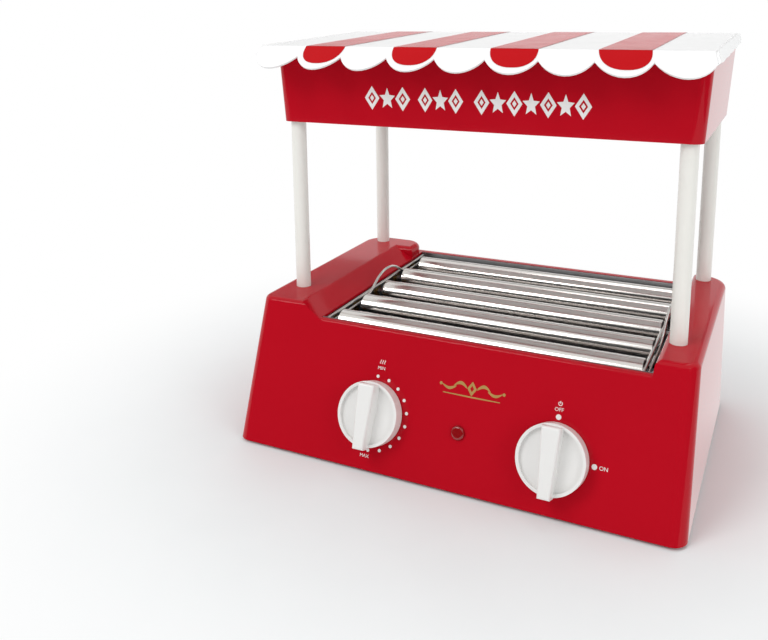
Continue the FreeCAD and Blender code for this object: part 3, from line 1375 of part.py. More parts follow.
def awning():
    """Moulded awning: low roof, sloping scalloped hems, and an inner rib that sits on the skirt."""
    outer = awning_block("awning_outer", "0", "0")
    inner = awning_block("awning_inner", "5", "awning_wall")
    shell = cut("awning_shell", outer, [inner])
    seat_z = above_base("canopy_height + skirt_height")
    width = "skirt_width + 2 * skirt_flare - skirt_wall"
    length = "skirt_front + skirt_back + 2 * skirt_rake - skirt_wall"
    left = "-skirt_width / 2 - skirt_flare + skirt_wall / 2"
    front = "-skirt_front - skirt_rake + skirt_wall / 2"
    rib_outer = box("rib_outer", (width, length, "30"), (left, along_y(front), seat_z))
    rib_inner = box("rib_inner", (f"{width} - 2 * seat_thickness", f"{length} - 2 * seat_thickness", "40"),
                    (f"{left} + seat_thickness", along_y(f"{front} + seat_thickness"), f"{seat_z} - 5"))
    rib = document.addObject("Part::MultiCommon", "awning_rib")
    rib.Shapes = [cut("rib_ring", rib_outer, [rib_inner]), outer]
    tools = []
    chord = f"(awning_width / {FRONT_SCALLOPS})"
    for index in range(FRONT_SCALLOPS):
        tools.append(scallop(
            f"front_scallop_{index}", "1.9 * fold_inset", chord, "scallop_depth",
            (f"{index} * {chord} - awning_width / 2", along_y("-awning_front - fold_inset"),
             above_base("awning_hem")), "Y"))
    span = "(awning_front + awning_back - fold_inset)"
    side_chord = f"({span} / {SIDE_SCALLOPS})"
    for side, start in (("left", "-awning_width / 2 - side_inset"),
                        ("right", "awning_width / 2 - side_inset - awning_wall")):
        for index in range(SIDE_SCALLOPS):
            tools.append(scallop(
                f"{side}_scallop_{index}", "2 * side_inset + awning_wall", side_chord, "side_scallop_depth",
                (start, along_y(f"-awning_front + fold_inset / 2 + {index} * {side_chord}"),
                 above_base(f"awning_hem + side_lift + {index} * side_rise")), "X"))
        tools.append(box(f"{side}_trim", ("2 * side_inset + awning_wall", f"{span} + fold_inset",
                                          "side_lift + 10"),
                         (start, along_y("-awning_front + fold_inset / 2"), above_base("awning_hem - 10"))))
    tools.append(box(
        "back_strip", ("awning_width + 20", "2 * fold_inset", "side_lift + scallop_depth / 2 + 10"),
        ("-awning_width / 2 - 10", along_y("awning_back - 0.9 * fold_inset"),
         above_base("awning_hem - 10"))))
    return part("awning", cut("awning", fuse("awning_solid", [shell, rib]), tools))


def awning_stripes():
    """Thin red stripes on every second panel, over the roof and a little way down the front hem."""
    stripes = []
    chord = f"(awning_width / {FRONT_SCALLOPS})"
    low = "(fold_height - scallop_depth)"
    foot_y = f"-awning_front + {HEM_SLOPE} * ({low} - awning_hem)"
    for index in range(1, FRONT_SCALLOPS, 2):
        centre = index - (FRONT_SCALLOPS - 1) / 2
        stripe = body(f"stripe_{index}")
        drawing = sketch(stripe, f"stripe_{index}_edge", "YZ_Plane", ("0", "0", f"{centre} * {chord}"))
        under = [(along_y(foot_y), above_base(low))]
        over = [(along_y(f"{foot_y} - print_thickness"), above_base(low))]
        for way, rise in ROOF_LINE:
            y_text, z_text = roof_point(way, rise)
            lead = "print_thickness" if way == 0 else "0"
            under.append((along_y(y_text), above_base(z_text)))
            over.append((along_y(f"{y_text} - {lead}"), above_base(f"{z_text} + print_thickness")))
        polygon(drawing, under + over[::-1])
        pad(stripe, drawing, f"{chord} - 2 * stripe_margin", midplane=True)
        stripes.append(stripe)
    return part("awning_stripes", group("awning_stripes", stripes))


# ---------------------------------------------------------------- assembly
housing()
base_plate()
rubber_feet()
chassis_screws()
end_plate("end_plate_left", PLATE_LEFT, -1)
end_plate("end_plate_right", PLATE_RIGHT, 1)
heat_shield("front_heat_shield", SHIELD_FRONT)
heat_shield("back_heat_shield", SHIELD_BACK)
for number in range(ROLLERS):
    roller_tube(number)
    roller_journals(number)
part("bushings", group("bushings", plate_bushings("left", PLATE_LEFT, -1)
                       + plate_bushings("right", PLATE_RIGHT, 1)))
gear_train()
idler_pins()
motor()
heating_element()
wire_guard("guard_left", -VALUE["left_bay"] + VALUE["left_guard_inset"], 1)
wire_guard("guard_right", VALUE["right_bay"] - VALUE["right_guard_inset"], 1)
drip_tray()
knob("heater_knob", "heater_x", "heater_height")
knob("power_knob", "power_x", "power_height")
control("heater", "heater_control", "heater_x", "heater_height", False)
control("power", "power_switch", "power_x", "power_height", True)
indicator()
dial_marks()
cord_gland()
terminal_block()
posts()
canopy_skirt()
canopy_ceiling()
awning()
awning_stripes()
document.recompute()

# ---------------------------------------------------------------- checks and files
for item in document.Objects:
    if any(word in item.State for word in ("Invalid", "Error")):
        raise RuntimeError(f"{item.Name} failed: {item.State}")
for label, item in parts.items():
    if item.Shape.isNull() or not item.Shape.isValid() or not item.Shape.Solids:
        raise RuntimeError(label + " has no valid solid")

os.makedirs("parts", exist_ok=True)
for label, item in parts.items():
    item.Shape.exportStep(f"parts/{label}.step")
print(len(parts), "sub-parts written")
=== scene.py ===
import bpy
import math
from mathutils import Matrix, Vector


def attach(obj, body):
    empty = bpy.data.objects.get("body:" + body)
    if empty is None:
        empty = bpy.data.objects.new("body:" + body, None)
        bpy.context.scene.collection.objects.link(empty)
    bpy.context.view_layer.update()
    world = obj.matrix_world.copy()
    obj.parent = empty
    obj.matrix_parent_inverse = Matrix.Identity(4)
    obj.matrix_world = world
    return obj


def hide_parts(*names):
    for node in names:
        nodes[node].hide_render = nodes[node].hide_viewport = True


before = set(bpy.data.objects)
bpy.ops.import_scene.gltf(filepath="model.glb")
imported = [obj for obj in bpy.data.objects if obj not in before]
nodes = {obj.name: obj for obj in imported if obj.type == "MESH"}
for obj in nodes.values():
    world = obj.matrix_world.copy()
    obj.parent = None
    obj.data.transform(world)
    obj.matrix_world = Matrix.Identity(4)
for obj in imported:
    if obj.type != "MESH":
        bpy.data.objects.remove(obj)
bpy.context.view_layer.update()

scene = bpy.context.scene

# The part's own datums, in millimetres: heights are above the housing's lower edge and depths are from
# the plane midway between the posts.
POST_PLANE = 36.61
FOOT = 2.5


def point(x, y, z):
    return Vector((x, y + POST_PLANE, z + FOOT)) / 1000.0


# ------------------------------------------------------------------ materials
BUMP_DEPTH = 0.0004
COAT_ROUGHNESS = 0.04
UNEVEN_RATIO = 2.7  # how much finer the changes in roughness are than those in colour


def linear(r, g, b):
    """An sRGB colour in 0..255 as a linear RGBA tuple."""
    channels = []
    for value in (r, g, b):
        value /= 255.0
        channels.append(value / 12.92 if value <= 0.04045 else ((value + 0.055) / 1.055) ** 2.4)
    return (*channels, 1.0)


def material(name, colour, rough, metallic=0.0, spread=0.04, scale=60.0, stretch=(1, 1, 1),
             bump=0.02, bump_scale=400.0, specular=0.5, coat=0.0, mottle=0.05, transmission=0.0):
    """A procedural surface: colour mottling, uneven roughness and a fine bump, all in object space."""
    mat = bpy.data.materials.new(name)
    mat.use_nodes = True
    tree = mat.node_tree
    shader = tree.nodes["Principled BSDF"]
    shader.inputs["Metallic"].default_value = metallic
    shader.inputs["Specular IOR Level"].default_value = specular
    shader.inputs["IOR"].default_value = 1.5
    shader.inputs["Coat Weight"].default_value = coat
    shader.inputs["Coat Roughness"].default_value = COAT_ROUGHNESS
    shader.inputs["Transmission Weight"].default_value = transmission
    coords = tree.nodes.new("ShaderNodeTexCoord")
    mapping = tree.nodes.new("ShaderNodeMapping")
    mapping.inputs["Scale"].default_value = stretch
    tree.links.new(coords.outputs["Object"], mapping.inputs["Vector"])

    def noise(size, detail):
        node = tree.nodes.new("ShaderNodeTexNoise")
        node.inputs["Scale"].default_value = size
        node.inputs["Detail"].default_value = detail
        tree.links.new(mapping.outputs["Vector"], node.inputs["Vector"])
        return node

    broad = noise(scale, 4.0)
    tint = tree.nodes.new("ShaderNodeMix")
    tint.data_type = "RGBA"
    tint.inputs["A"].default_value = tuple(c * (1 - mottle) for c in colour[:3]) + (1.0,)
    tint.inputs["B"].default_value = tuple(min(1.0, c * (1 + mottle)) for c in colour[:3]) + (1.0,)
    tree.links.new(broad.outputs["Fac"], tint.inputs["Factor"])
    tree.links.new(tint.outputs["Result"], shader.inputs["Base Color"])

    uneven = noise(scale * UNEVEN_RATIO, 5.0)
    level = tree.nodes.new("ShaderNodeMapRange")
    level.inputs["To Min"].default_value = max(0.0, rough - spread)
    level.inputs["To Max"].default_value = rough + spread
    tree.links.new(uneven.outputs["Fac"], level.inputs["Value"])
    tree.links.new(level.outputs["Result"], shader.inputs["Roughness"])

    if bump:
        fine = noise(bump_scale, 3.0)
        relief = tree.nodes.new("ShaderNodeBump")
        relief.inputs["Strength"].default_value = bump
        relief.inputs["Distance"].default_value = BUMP_DEPTH
        tree.links.new(fine.outputs["Fac"], relief.inputs["Height"])
        tree.links.new(relief.outputs["Normal"], shader.inputs["Normal"])
    return mat


red = material("red_gloss", linear(184, 15, 32), 0.06, specular=0.16, spread=0.02, scale=9, mottle=0.05,
               bump=0.015, bump_scale=60)
stripe_red = material("stripe_red_gloss", linear(190, 10, 20), 0.18, specular=0.1, scale=20, mottle=0.03,
                      bump=0.04, bump_scale=150)
white = material("white_gloss", linear(247, 247, 247), 0.22, specular=0.4, scale=12, mottle=0.015,
                 bump=0.03, bump_scale=140)
post_white = material("post_white_gloss", linear(240, 238, 232), 0.25, scale=20, mottle=0.02,
                      bump=0.03, bump_scale=300)
knob_white = material("knob_satin", linear(238, 237, 235), 0.30, scale=60, mottle=0.02, bump=0.05,
                      bump_scale=700)
print_white = material("print_white", linear(238, 236, 234), 0.45, scale=300, mottle=0.05, bump=0.05)
gold = material("gold_print", linear(196, 160, 92), 0.38, metallic=0.35, scale=250, mottle=0.12,
                bump=0.08)
chrome = material("roller_chrome", linear(214, 210, 206), 0.14, metallic=1.0, spread=0.05, scale=30,
                  stretch=(1.5, 10, 10), bump=0.05, bump_scale=120, mottle=0.06)
wire_chrome = material("guard_chrome", linear(205, 202, 198), 0.18, metallic=1.0, spread=0.06, scale=90,
                       bump=0.05, bump_scale=600, mottle=0.08)
steel = material("zinc_sheet", linear(158, 160, 163), 0.36, metallic=1.0, spread=0.10, scale=60,
                 mottle=0.12, bump=0.06, bump_scale=250)
turned = material("turned_steel", linear(165, 165, 166), 0.28, metallic=1.0, scale=180, mottle=0.08)
bronze = material("bushing_bronze", linear(168, 128, 70), 0.38, metallic=1.0, scale=200, mottle=0.1)
nylon = material("gear_nylon", linear(226, 220, 200), 0.5, scale=120, mottle=0.04, bump=0.06)
black_sheet = material("black_sheet", linear(30, 30, 32), 0.45, scale=70, mottle=0.15, bump=0.12,
                       bump_scale=500)
rubber = material("black_rubber", linear(24, 24, 25), 0.75, scale=200, mottle=0.15, bump=0.25,
                  bump_scale=900)
element = material("element_sheath", linear(64, 58, 54), 0.5, metallic=0.8, spread=0.12, scale=120,
                   mottle=0.3, bump=0.15, bump_scale=700)
ceramic = material("ceramic", linear(228, 224, 214), 0.5, scale=200, mottle=0.04, bump=0.06)
tray_sheet = material("tray_sheet", linear(176, 178, 181), 0.32, metallic=1.0, spread=0.1, scale=40,
                      stretch=(1, 12, 12), mottle=0.08, bump=0.05, bump_scale=200)
dark_case = material("control_case", linear(34, 34, 36), 0.55, scale=150, mottle=0.15, bump=0.15)
lens_red = material("lens_red", linear(140, 10, 16), 0.08, specular=0.5, coat=0.6, scale=200, mottle=0.1,
                    bump=0.03)
lamp_glass = material("lamp_glass", linear(236, 200, 176), 0.08, transmission=0.8, scale=200, bump=0.0)
block = material("block_plastic", linear(214, 210, 200), 0.5, scale=120, mottle=0.04, bump=0.08)

NODE_LOOK = {
    "housing": red, "canopy_skirt": red, "canopy_ceiling": white, "base_plate": black_sheet,
    "rubber_feet": rubber, "chassis_screws": turned, "canopy_screws": turned,
    "end_plate_left": steel, "end_plate_right": steel, "front_heat_shield": steel,
    "back_heat_shield": steel, "motor_bracket": steel, "bushings": bronze, "idler_pins": turned,
    "drive_pinion": nylon, "gear_motor": turned, "heating_element": element,
    "element_insulators": ceramic, "element_rests": steel, "guard_left": wire_chrome,
    "guard_right": wire_chrome, "drip_tray": tray_sheet, "heater_control": dark_case,
    "power_switch": dark_case, "heater_shaft": turned, "power_shaft": turned,
    "indicator_lens": lens_red, "indicator_lamp": lamp_glass, "dial_marks": print_white,
    "cord_gland": rubber, "terminal_block": block, "post_inserts": nylon,
    "awning": white, "awning_stripes": stripe_red, "heater_knob": knob_white, "power_knob": knob_white,
}
for number in range(1, 6):
    NODE_LOOK[f"roller_tube_{number}"] = chrome
    NODE_LOOK[f"roller_journals_{number}"] = turned
    NODE_LOOK[f"roller_gear_{number}"] = nylon
for number in range(1, 5):
    NODE_LOOK[f"idler_gear_{number}"] = nylon
for end in ("front", "back"):
    for side in ("left", "right"):
        NODE_LOOK[f"post_{end}_{side}"] = post_white
for name, look in NODE_LOOK.items():
    nodes[name].data.materials.clear()
    nodes[name].data.materials.append(look)


# ------------------------------------------------------------------ mesh helpers
def link_mesh(name, mesh, look, body):
    """An object of the mesh, in the given material, that moves with a body."""
    mesh.materials.clear()
    mesh.materials.append(look)
    obj = bpy.data.objects.new(name, mesh)
    scene.collection.objects.link(obj)
    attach(obj, body)
    return obj


def piece(name, verts, faces, look, body, slot_name, smooth=True):
    mesh = bpy.data.meshes.new(name)
    mesh.from_pydata([tuple(v) for v in verts], [], faces)
    mesh.validate()
    mesh.update()
    if smooth:
        mesh.polygons.foreach_set("use_smooth", [True] * len(mesh.polygons))
    return link_mesh(name, mesh, look, body)


def grid(rows):
    """Vertices and quads of a sheet given as rows of points."""
    verts = [p for row in rows for p in row]
    width = len(rows[0])
    faces = []
    for r in range(len(rows) - 1):
        for c in range(width - 1):
            a = r * width + c
            faces.append((a, a + 1, a + width + 1, a + width))
    return verts, faces


def flipped(sheet):
    """The sheet with its faces turned over."""
    verts, faces = sheet
    return verts, [face[::-1] for face in faces]


def join(*parts):
    verts, faces = [], []
    for some_verts, some_faces in parts:
        base = len(verts)
        verts += some_verts
        faces += [tuple(i + base for i in face) for face in some_faces]
    return verts, faces


# ------------------------------------------------------------------ awning
# A hem hangs from the fold round the roof and leans outward. HALF, FRONT and BACK are reached at HEM,
# the level of the front scallops' lowest points.
FRONT = 132.5
BACK = 111.9
HALF = 197.9
HEM = 339.5
FOLD_Z = 357.7
FOLD_IN = 14.2
SIDE_IN = 6.5
SHEET = 1.8
WELD_GAP = 0.1
CREASE_ANGLE = 35

# The roof climbs to a soft ridge and falls away behind it.
RIDGE = 6.3
RIDGE_AT = 0.86
RIDGE_SOFT = 0.3
FALL_FROM = 0.83
FALL_START = 0.4
FALL_DEPTH = 4.8
FALL_BEND = 1.8

# Scallops: their count, depth and bulge, and how the side hem's cusps rise towards the back.
SCALLOPS = 9
SCALLOP_DEPTH = 9.7
CHORD = 2 * HALF / SCALLOPS
CUSP = HEM + SCALLOP_DEPTH
PUFF = 2.4
BULGE_ACROSS = 0.8
BULGE_DOWN = 0.9
SIDE_SCALLOPS = 5
SIDE_DEPTH = 0.7
SIDE_PUFF = 0.05
CUSP_RISE = 6.1
RISE_BEND = 1.2
BACK_FOOT = 353.0
BACK_CORNER_BEND = 8


def half(z):
    """Half the awning's width at a height."""
    return HALF - SIDE_IN * (z - HEM) / (FOLD_Z - HEM)


def lean(z):
    """How far in from its foot a front or back hem stands at a height."""
    return FOLD_IN * (z - HEM) / (FOLD_Z - HEM)


def sag(s):
    """Height of a front scallop's lower edge above its lowest point; s runs from -1 to 1."""
    radius = ((CHORD / 2) ** 2 + SCALLOP_DEPTH ** 2) / (2 * SCALLOP_DEPTH)
    return radius - math.sqrt(radius ** 2 - (s * CHORD / 2) ** 2)


def bulge(s, v):
    """Share of a scallop's bulge at a place across it and down it."""
    return (1 - s * s) ** BULGE_ACROSS * v ** BULGE_DOWN


def across(k, s):
    """Place across the whole width, -1 to 1, of a place on the front scallop k."""
    return (k + (s + 1) / 2) * 2 / SCALLOPS - 1


def along(k, s):
    """Share of the depth, from the front, of a place on the side scallop k."""
    return (k + (s + 1) / 2) / SIDE_SCALLOPS


def roof(u, share):
    """A point of the roof: u across it from -1 to 1, share of its depth from the front."""
    climb = RIDGE * share / RIDGE_AT
    past = max(share - FALL_FROM, 0) / (1 - FALL_FROM)
    fall = RIDGE + FALL_START - FALL_DEPTH * past ** FALL_BEND
    rise = -RIDGE_SOFT * math.log(math.exp(-climb / RIDGE_SOFT) + math.exp(-fall / RIDGE_SOFT))
    y = -FRONT + FOLD_IN + share * (FRONT + BACK - 2 * FOLD_IN)
    return Vector((u * half(FOLD_Z), y, FOLD_Z + max(rise, 0.0)))


def front_hem(k, s, v):
    """A point of the front hem: scallop k, place s across it, v from the fold to the lower edge."""
    z = FOLD_Z + v * (HEM + sag(s) - FOLD_Z)
    return Vector((across(k, s) * half(z), -FRONT + lean(z) - PUFF * bulge(s, v), z))


def side_hem(side, k, s, v):
    """A point of a side hem, in the same terms as the front hem's."""
    t = along(k, s)
    low = CUSP + CUSP_RISE * t ** RISE_BEND - SIDE_DEPTH * (1 - s * s)
    y = (-FRONT + lean(CUSP)) * (1 - t) + (BACK - lean(CUSP + CUSP_RISE)) * t
    spot = roof(side, t).lerp(Vector((side * half(low), y, low)), v)
    spot.x += side * SIDE_PUFF * bulge(s, v)
    return spot


def back_hem(u, v):
    """A point of the back hem, which is short and straight and meets the side hems at its corners."""
    low = BACK_FOOT + (CUSP + CUSP_RISE - BACK_FOOT) * abs(u) ** BACK_CORNER_BEND
    return roof(u, 1.0).lerp(Vector((u * half(low), BACK - lean(low), low)), v)


def at(v):
    return point(v.x, v.y, v.z)


def spread(steps):
    """Places from -1 to 1 that stand closer together near both ends."""
    return [math.sin(math.pi / 2 * (-1 + 2 * i / steps)) for i in range(steps + 1)]


def scalloped(count, steps):
    """Places along a hem of scallops, as the scallop's number and s."""
    places = spread(steps)
    return [(k, s) for k in range(count) for s in (places if k == 0 else places[1:])]


# Shares of a hem's drop, closer together near the fold and the edge.
drops = [0.0, 0.04, 0.1, 0.2, 0.35, 0.5, 0.65, 0.8, 0.9, 1.0]
FRONT_STEPS, SIDE_STEPS = 16, 8
columns = scalloped(SCALLOPS, FRONT_STEPS)
side_columns = scalloped(SIDE_SCALLOPS, SIDE_STEPS)
across_roof = [across(k, s) for k, s in columns]
along_roof = [along(k, s) for k, s in side_columns]
hem_rows = [[at(front_hem(k, s, v)) for k, s in columns] for v in drops[::-1]]
roof_rows = [[at(roof(u, share)) for u in across_roof] for share in along_roof[1:]]
back_rows = [[at(back_hem(u, v)) for u in across_roof] for v in drops[1:]]
sheets = [grid(hem_rows + roof_rows + back_rows)]
for side in (-1, 1):
    sheet = grid([[at(side_hem(side, k, s, v)) for k, s in side_columns] for v in drops])
    sheets.append(flipped(sheet) if side < 0 else sheet)
awning = piece("awning_cover", *join(*sheets), white, "canopy", "white_plastic")
weld = awning.modifiers.new("weld", "WELD")
weld.merge_threshold = WELD_GAP / 1000
solid = awning.modifiers.new("thickness", "SOLIDIFY")
solid.thickness = SHEET / 1000
solid.offset = -1
crease = awning.modifiers.new("crease", "EDGE_SPLIT")
crease.split_angle = math.radians(CREASE_ANGLE)
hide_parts("awning")

# Every other panel is red: a strip over the roof and a rounded patch on its scallop. They lie just
# clear of the sheet and stand a little to the right of their scallop's middle.
STRIPE_REACH = 0.915
STRIPE_ASIDE = 0.07
STRIPE_END = 0.995
STRIPE_LIFT = Vector((0, 0, 0.24))
PATCH_DEPTH = 13.9
PATCH_ROUND = 2.3
PATCH_LIFT = Vector((0, -0.2, 0.15))
PATCH_ROWS, PATCH_STEPS = 8, 24
STRIPE_ROWS, STRIPE_STEPS = 40, 8
PATCH_TIP = 0.9995  # leaves the patch a trace of depth at its two ends
patches = []
for k in range(1, SCALLOPS, 2):
    rows = []
    for level in range(PATCH_ROWS + 1):
        row = []
        for place in spread(PATCH_STEPS):
            place *= PATCH_TIP
            s = place * STRIPE_REACH + STRIPE_ASIDE
            depth = PATCH_DEPTH * (1 - abs(place) ** PATCH_ROUND) ** (1 / PATCH_ROUND)
            full = depth / (FOLD_Z - HEM - sag(s))
            row.append(at(front_hem(k, s, full * level / PATCH_ROWS) + PATCH_LIFT))
        rows.append(row)
    patches.append(flipped(grid(rows)))
    shares = [2 * i / STRIPE_STEPS - 1 for i in range(STRIPE_STEPS + 1)]
    edges = [across(k, share * STRIPE_REACH + STRIPE_ASIDE) for share in shares]
    patches.append(grid([[at(roof(u, STRIPE_END * step / STRIPE_ROWS) + STRIPE_LIFT) for u in edges]
                         for step in range(STRIPE_ROWS + 1)]))
stripes = piece("awning_red", *join(*patches), stripe_red, "canopy", "stripe_red")
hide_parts("awning_stripes")


# ------------------------------------------------------------------ flat print
PRINT_HEIGHT = 0.14
CURVE_STEPS = 24


def prism(outline, frame_matrix, hole=None):
    """A thin raised print with an outline and, where there is one, a hole of as many points."""
    count = len(outline)
    rings = [outline, hole] if hole else [outline]
    verts = []
    for height in (0.0, PRINT_HEIGHT):
        for ring in rings:
            verts += [frame_matrix @ (Vector((x, y, height)) / 1000) for x, y in ring]
    faces = []
    if hole:
        low, low_in, high, high_in = 0, count, 2 * count, 3 * count
        for i in range(count):
            n = (i + 1) % count
            faces.append((high + i, high + n, high_in + n, high_in + i))
            faces.append((low + n, low + i, low_in + i, low_in + n))
            faces.append((low + i, low + n, high + n, high + i))
            faces.append((low_in + n, low_in + i, high_in + i, high_in + n))
    else:
        faces.append(tuple(range(count, 2 * count)))
        faces.append(tuple(range(count - 1, -1, -1)))
        for i in range(count):
            n = (i + 1) % count
            faces.append((i, n, count + n, count + i))
    return verts, faces


def moved(points, x, y, size_x, size_y):
    return [(x + px * size_x, y + py * size_y) for px, py in points]


def ring_points(count, inner=1.0):
    """Points round a circle, from its top, with every second one at an inner radius."""
    points = []
    for i in range(count):
        reach = inner if i % 2 else 1.0
        turn = math.radians(90 + 360 * i / count)
        points.append((reach * math.cos(turn), reach * math.sin(turn)))
    return points


STAR = ring_points(10, inner=0.45)
DIAMOND = ring_points(4)
ROUND = ring_points(40)


# ------------------------------------------------------------------ the sloping panel
# Places on the panel are x, and the distance up its slope from the lower edge.
FACE_SETBACK = 45.5
BODY_HEIGHT = 124.5
BODY_FRONT = -175.5
FACE_TILT = math.atan(FACE_SETBACK / BODY_HEIGHT)


def face_matrix(x, up):
    """Frame on the sloping panel: x to the right, y up the slope, z out of it."""
    origin = point(x, BODY_FRONT + up * math.sin(FACE_TILT), up * math.cos(FACE_TILT))
    return Matrix.Translation(origin) @ Matrix.Rotation(math.pi / 2 - FACE_TILT, 4, "X")


LETTER_HALF_HEIGHT = 0.00006
LETTER_LIFT = 0.0001


def lettering(name, text, size, x, up):
    """Flat raised print on the panel, centred at a place."""
    curve = bpy.data.curves.new(name + "_curve", "FONT")
    curve.body = text
    curve.size = size / 1000
    curve.align_x = "CENTER"
    curve.align_y = "CENTER"
    curve.extrude = LETTER_HALF_HEIGHT
    curve.resolution_u = 3
    source = bpy.data.objects.new(name + "_source", curve)
    scene.collection.objects.link(source)
    bpy.context.view_layer.update()
    mesh = bpy.data.meshes.new_from_object(source)
    bpy.data.objects.remove(source)
    mesh.transform(face_matrix(x, up) @ Matrix.Translation((0, 0, LETTER_LIFT)))
    return link_mesh(name, mesh, print_white, "grill")


# name: text, letter size, x and distance up the slope
LABELS = {
    "label_min": ("MIN", 4.0, -62.2, 87.1),
    "label_max": ("MAX", 4.0, -67.2, 11.6),
    "label_off": ("OFF", 4.2, 95.3, 81.9),
    "label_on": ("ON", 4.4, 134.2, 44.4),
}
for name, label in LABELS.items():
    lettering(name, *label)

# Signs over the dials: three waves of heat, and an open ring with a bar for power.
HEAT_SIGN = face_matrix(-61.8, 92.6)
POWER_SIGN = face_matrix(95.8, 86.7)
WAVE_GAP, WAVE_TALL, WAVE_SWING, WAVE_BEND, WAVE_HALF, WAVE_STEPS = 2.0, 3.4, 0.45, 1.9, 0.3, 12
RING_OUT, RING_IN, RING_FROM, RING_SWEEP = 1.75, 1.2, 125, 290
BAR_HALF, BAR_FOOT, BAR_TOP = 0.28, 0.1, 2.1
sign_parts = []
for offset in (-WAVE_GAP, 0.0, WAVE_GAP):
    wave = []
    for side in (1, -1):
        for i in range(WAVE_STEPS + 1)[::side]:
            rise = WAVE_TALL * (i / WAVE_STEPS - 0.5)
            wave.append((offset + WAVE_SWING * math.sin(rise * WAVE_BEND) + side * WAVE_HALF, rise))
    sign_parts.append(prism(wave, HEAT_SIGN))
arc = []
for radius, way in ((RING_OUT, 1), (RING_IN, -1)):
    for i in range(CURVE_STEPS + 1)[::way]:
        turn = math.radians(RING_FROM + RING_SWEEP * i / CURVE_STEPS)
        arc.append((radius * math.cos(turn), radius * math.sin(turn)))
sign_parts.append(prism(arc, POWER_SIGN))
bar = [(-BAR_HALF, BAR_FOOT), (BAR_HALF, BAR_FOOT), (BAR_HALF, BAR_TOP), (-BAR_HALF, BAR_TOP)]
sign_parts.append(prism(bar, POWER_SIGN))
piece("dial_signs", *join(*sign_parts), print_white, "grill", "print_white", smooth=False)

# Gold ornament on the panel: a diamond between two tapering scrolls on each side, over a fine line.
GOLD_SIGN = face_matrix(21.8, 83.6)
DIAMOND_UP = 1.0
DIAMOND_SIZE, DIAMOND_HOLE = (4.2, 6.0), (1.7, 2.6)
SCROLL_BASE = 1.2
SCROLLS = ((4.6, 11.5, 3.2, 2.5), (14.0, 12.5, -2.6, 2.1))  # start, length, height and thickness
SCROLL_END = 0.12
SCROLL_EDGE = 0.25
SCROLL_SWELL = 0.7
DOT_X, DOT_SIZE = 27.6, 1.3
LINE_HALF, LINE_LOW, LINE_SAG, LINE_HIGH, LINE_CROWN = 25, -6.0, -6.4, -5.3, -5.2


def scroll(side, start, length, height, thick):
    """Outline of a curved stroke that swells and tapers; side is -1 or 1."""
    upper, lower = [], []
    for i in range(CURVE_STEPS + 1):
        t = i / CURVE_STEPS
        x = side * (start + length * t)
        y = SCROLL_BASE + height * math.sin(math.pi * t)
        swell = math.sin(math.pi * min(1.0, SCROLL_END + (1 - SCROLL_END) * t))
        width = thick * swell ** SCROLL_SWELL + SCROLL_EDGE
        upper.append((x, y + width / 2))
        lower.append((x, y - width / 2))
    return lower + upper[::-1] if side > 0 else upper + lower[::-1]


diamond = moved(DIAMOND, 0, DIAMOND_UP, *DIAMOND_SIZE)
diamond_hole = moved(DIAMOND, 0, DIAMOND_UP, *DIAMOND_HOLE)
flourish = [prism(diamond, GOLD_SIGN, diamond_hole)]
for side in (-1, 1):
    for shape in SCROLLS:
        flourish.append(prism(scroll(side, *shape), GOLD_SIGN))
    flourish.append(prism(moved(ROUND, side * DOT_X, SCROLL_BASE, DOT_SIZE, DOT_SIZE), GOLD_SIGN))
under_line = [(-LINE_HALF, LINE_LOW), (0, LINE_SAG), (LINE_HALF, LINE_LOW),
              (LINE_HALF, LINE_HIGH), (0, LINE_CROWN), (-LINE_HALF, LINE_HIGH)]
flourish.append(prism(under_line, GOLD_SIGN))
piece("panel_ornament", *join(*flourish), gold, "grill", "print_white", smooth=False)


# ------------------------------------------------------------------ the canopy's row of ornaments
SKIRT_Z = 287.0
SKIRT_HEIGHT = 63.7
SKIRT_RAKE = 2.0
SKIRT_FRONT = -99.3


def skirt_matrix(x, z):
    """Frame on the canopy's front: x to the right, y up it, z out of it."""
    origin = point(x, SKIRT_FRONT - SKIRT_RAKE * (z - SKIRT_Z) / SKIRT_HEIGHT, z)
    tilt = math.pi / 2 + math.atan(SKIRT_RAKE / SKIRT_HEIGHT)
    return Matrix.Translation(origin) @ Matrix.Rotation(tilt, 4, "X")


ROW_Z = 312.2
ROW_TALL = 21.0
ROW_FILL = 0.98  # share of its place in the row that an ornament fills
GROUPS = ((-98.3, -53.9, 3), (-47.2, -5.2, 3), (3.7, 102.4, 7))  # first x, last x and count
STAR_WIDE, STAR_TALL, STAR_DROP = 1.08, 0.92, 0.3
DIAMOND_WIDE, DIAMOND_INNER, DIAMOND_CORE = 0.98, 0.52, 0.27
ornaments = []
for first, last, count in GROUPS:
    pitch = (last - first) / count
    wide, tall = pitch * ROW_FILL / 2, ROW_TALL / 2
    for i in range(count):
        matrix = skirt_matrix(first + (i + 0.5) * pitch, ROW_Z)
        if i % 2:
            star = moved(STAR, 0, -STAR_DROP, wide * STAR_WIDE, tall * STAR_TALL)
            ornaments.append(prism(star, matrix))
        else:
            outer = moved(DIAMOND, 0, 0, wide * DIAMOND_WIDE, tall)
            hole = moved(DIAMOND, 0, 0, wide * DIAMOND_INNER, tall * DIAMOND_INNER)
            core = moved(DIAMOND, 0, 0, wide * DIAMOND_CORE, tall * DIAMOND_CORE)
            ornaments.append(prism(outer, matrix, hole))
            ornaments.append(prism(core, matrix))
piece("canopy_ornament", *join(*ornaments), print_white, "canopy", "print_white", smooth=False)


# ------------------------------------------------------------------ stage
FLOOR_HALF = 12.0
FLOOR_TINTS = ((0.83, 0.87, 0.875, 1), (0.87, 0.905, 0.91, 1))
# Distances from the middle between which the floor fades into the white background, as it is seen
# by the camera and in mirrors.
CAMERA_FADE = (0.21, 0.55)
MIRROR_FADE = (0.14, 0.24)
AMBIENT = 0.60


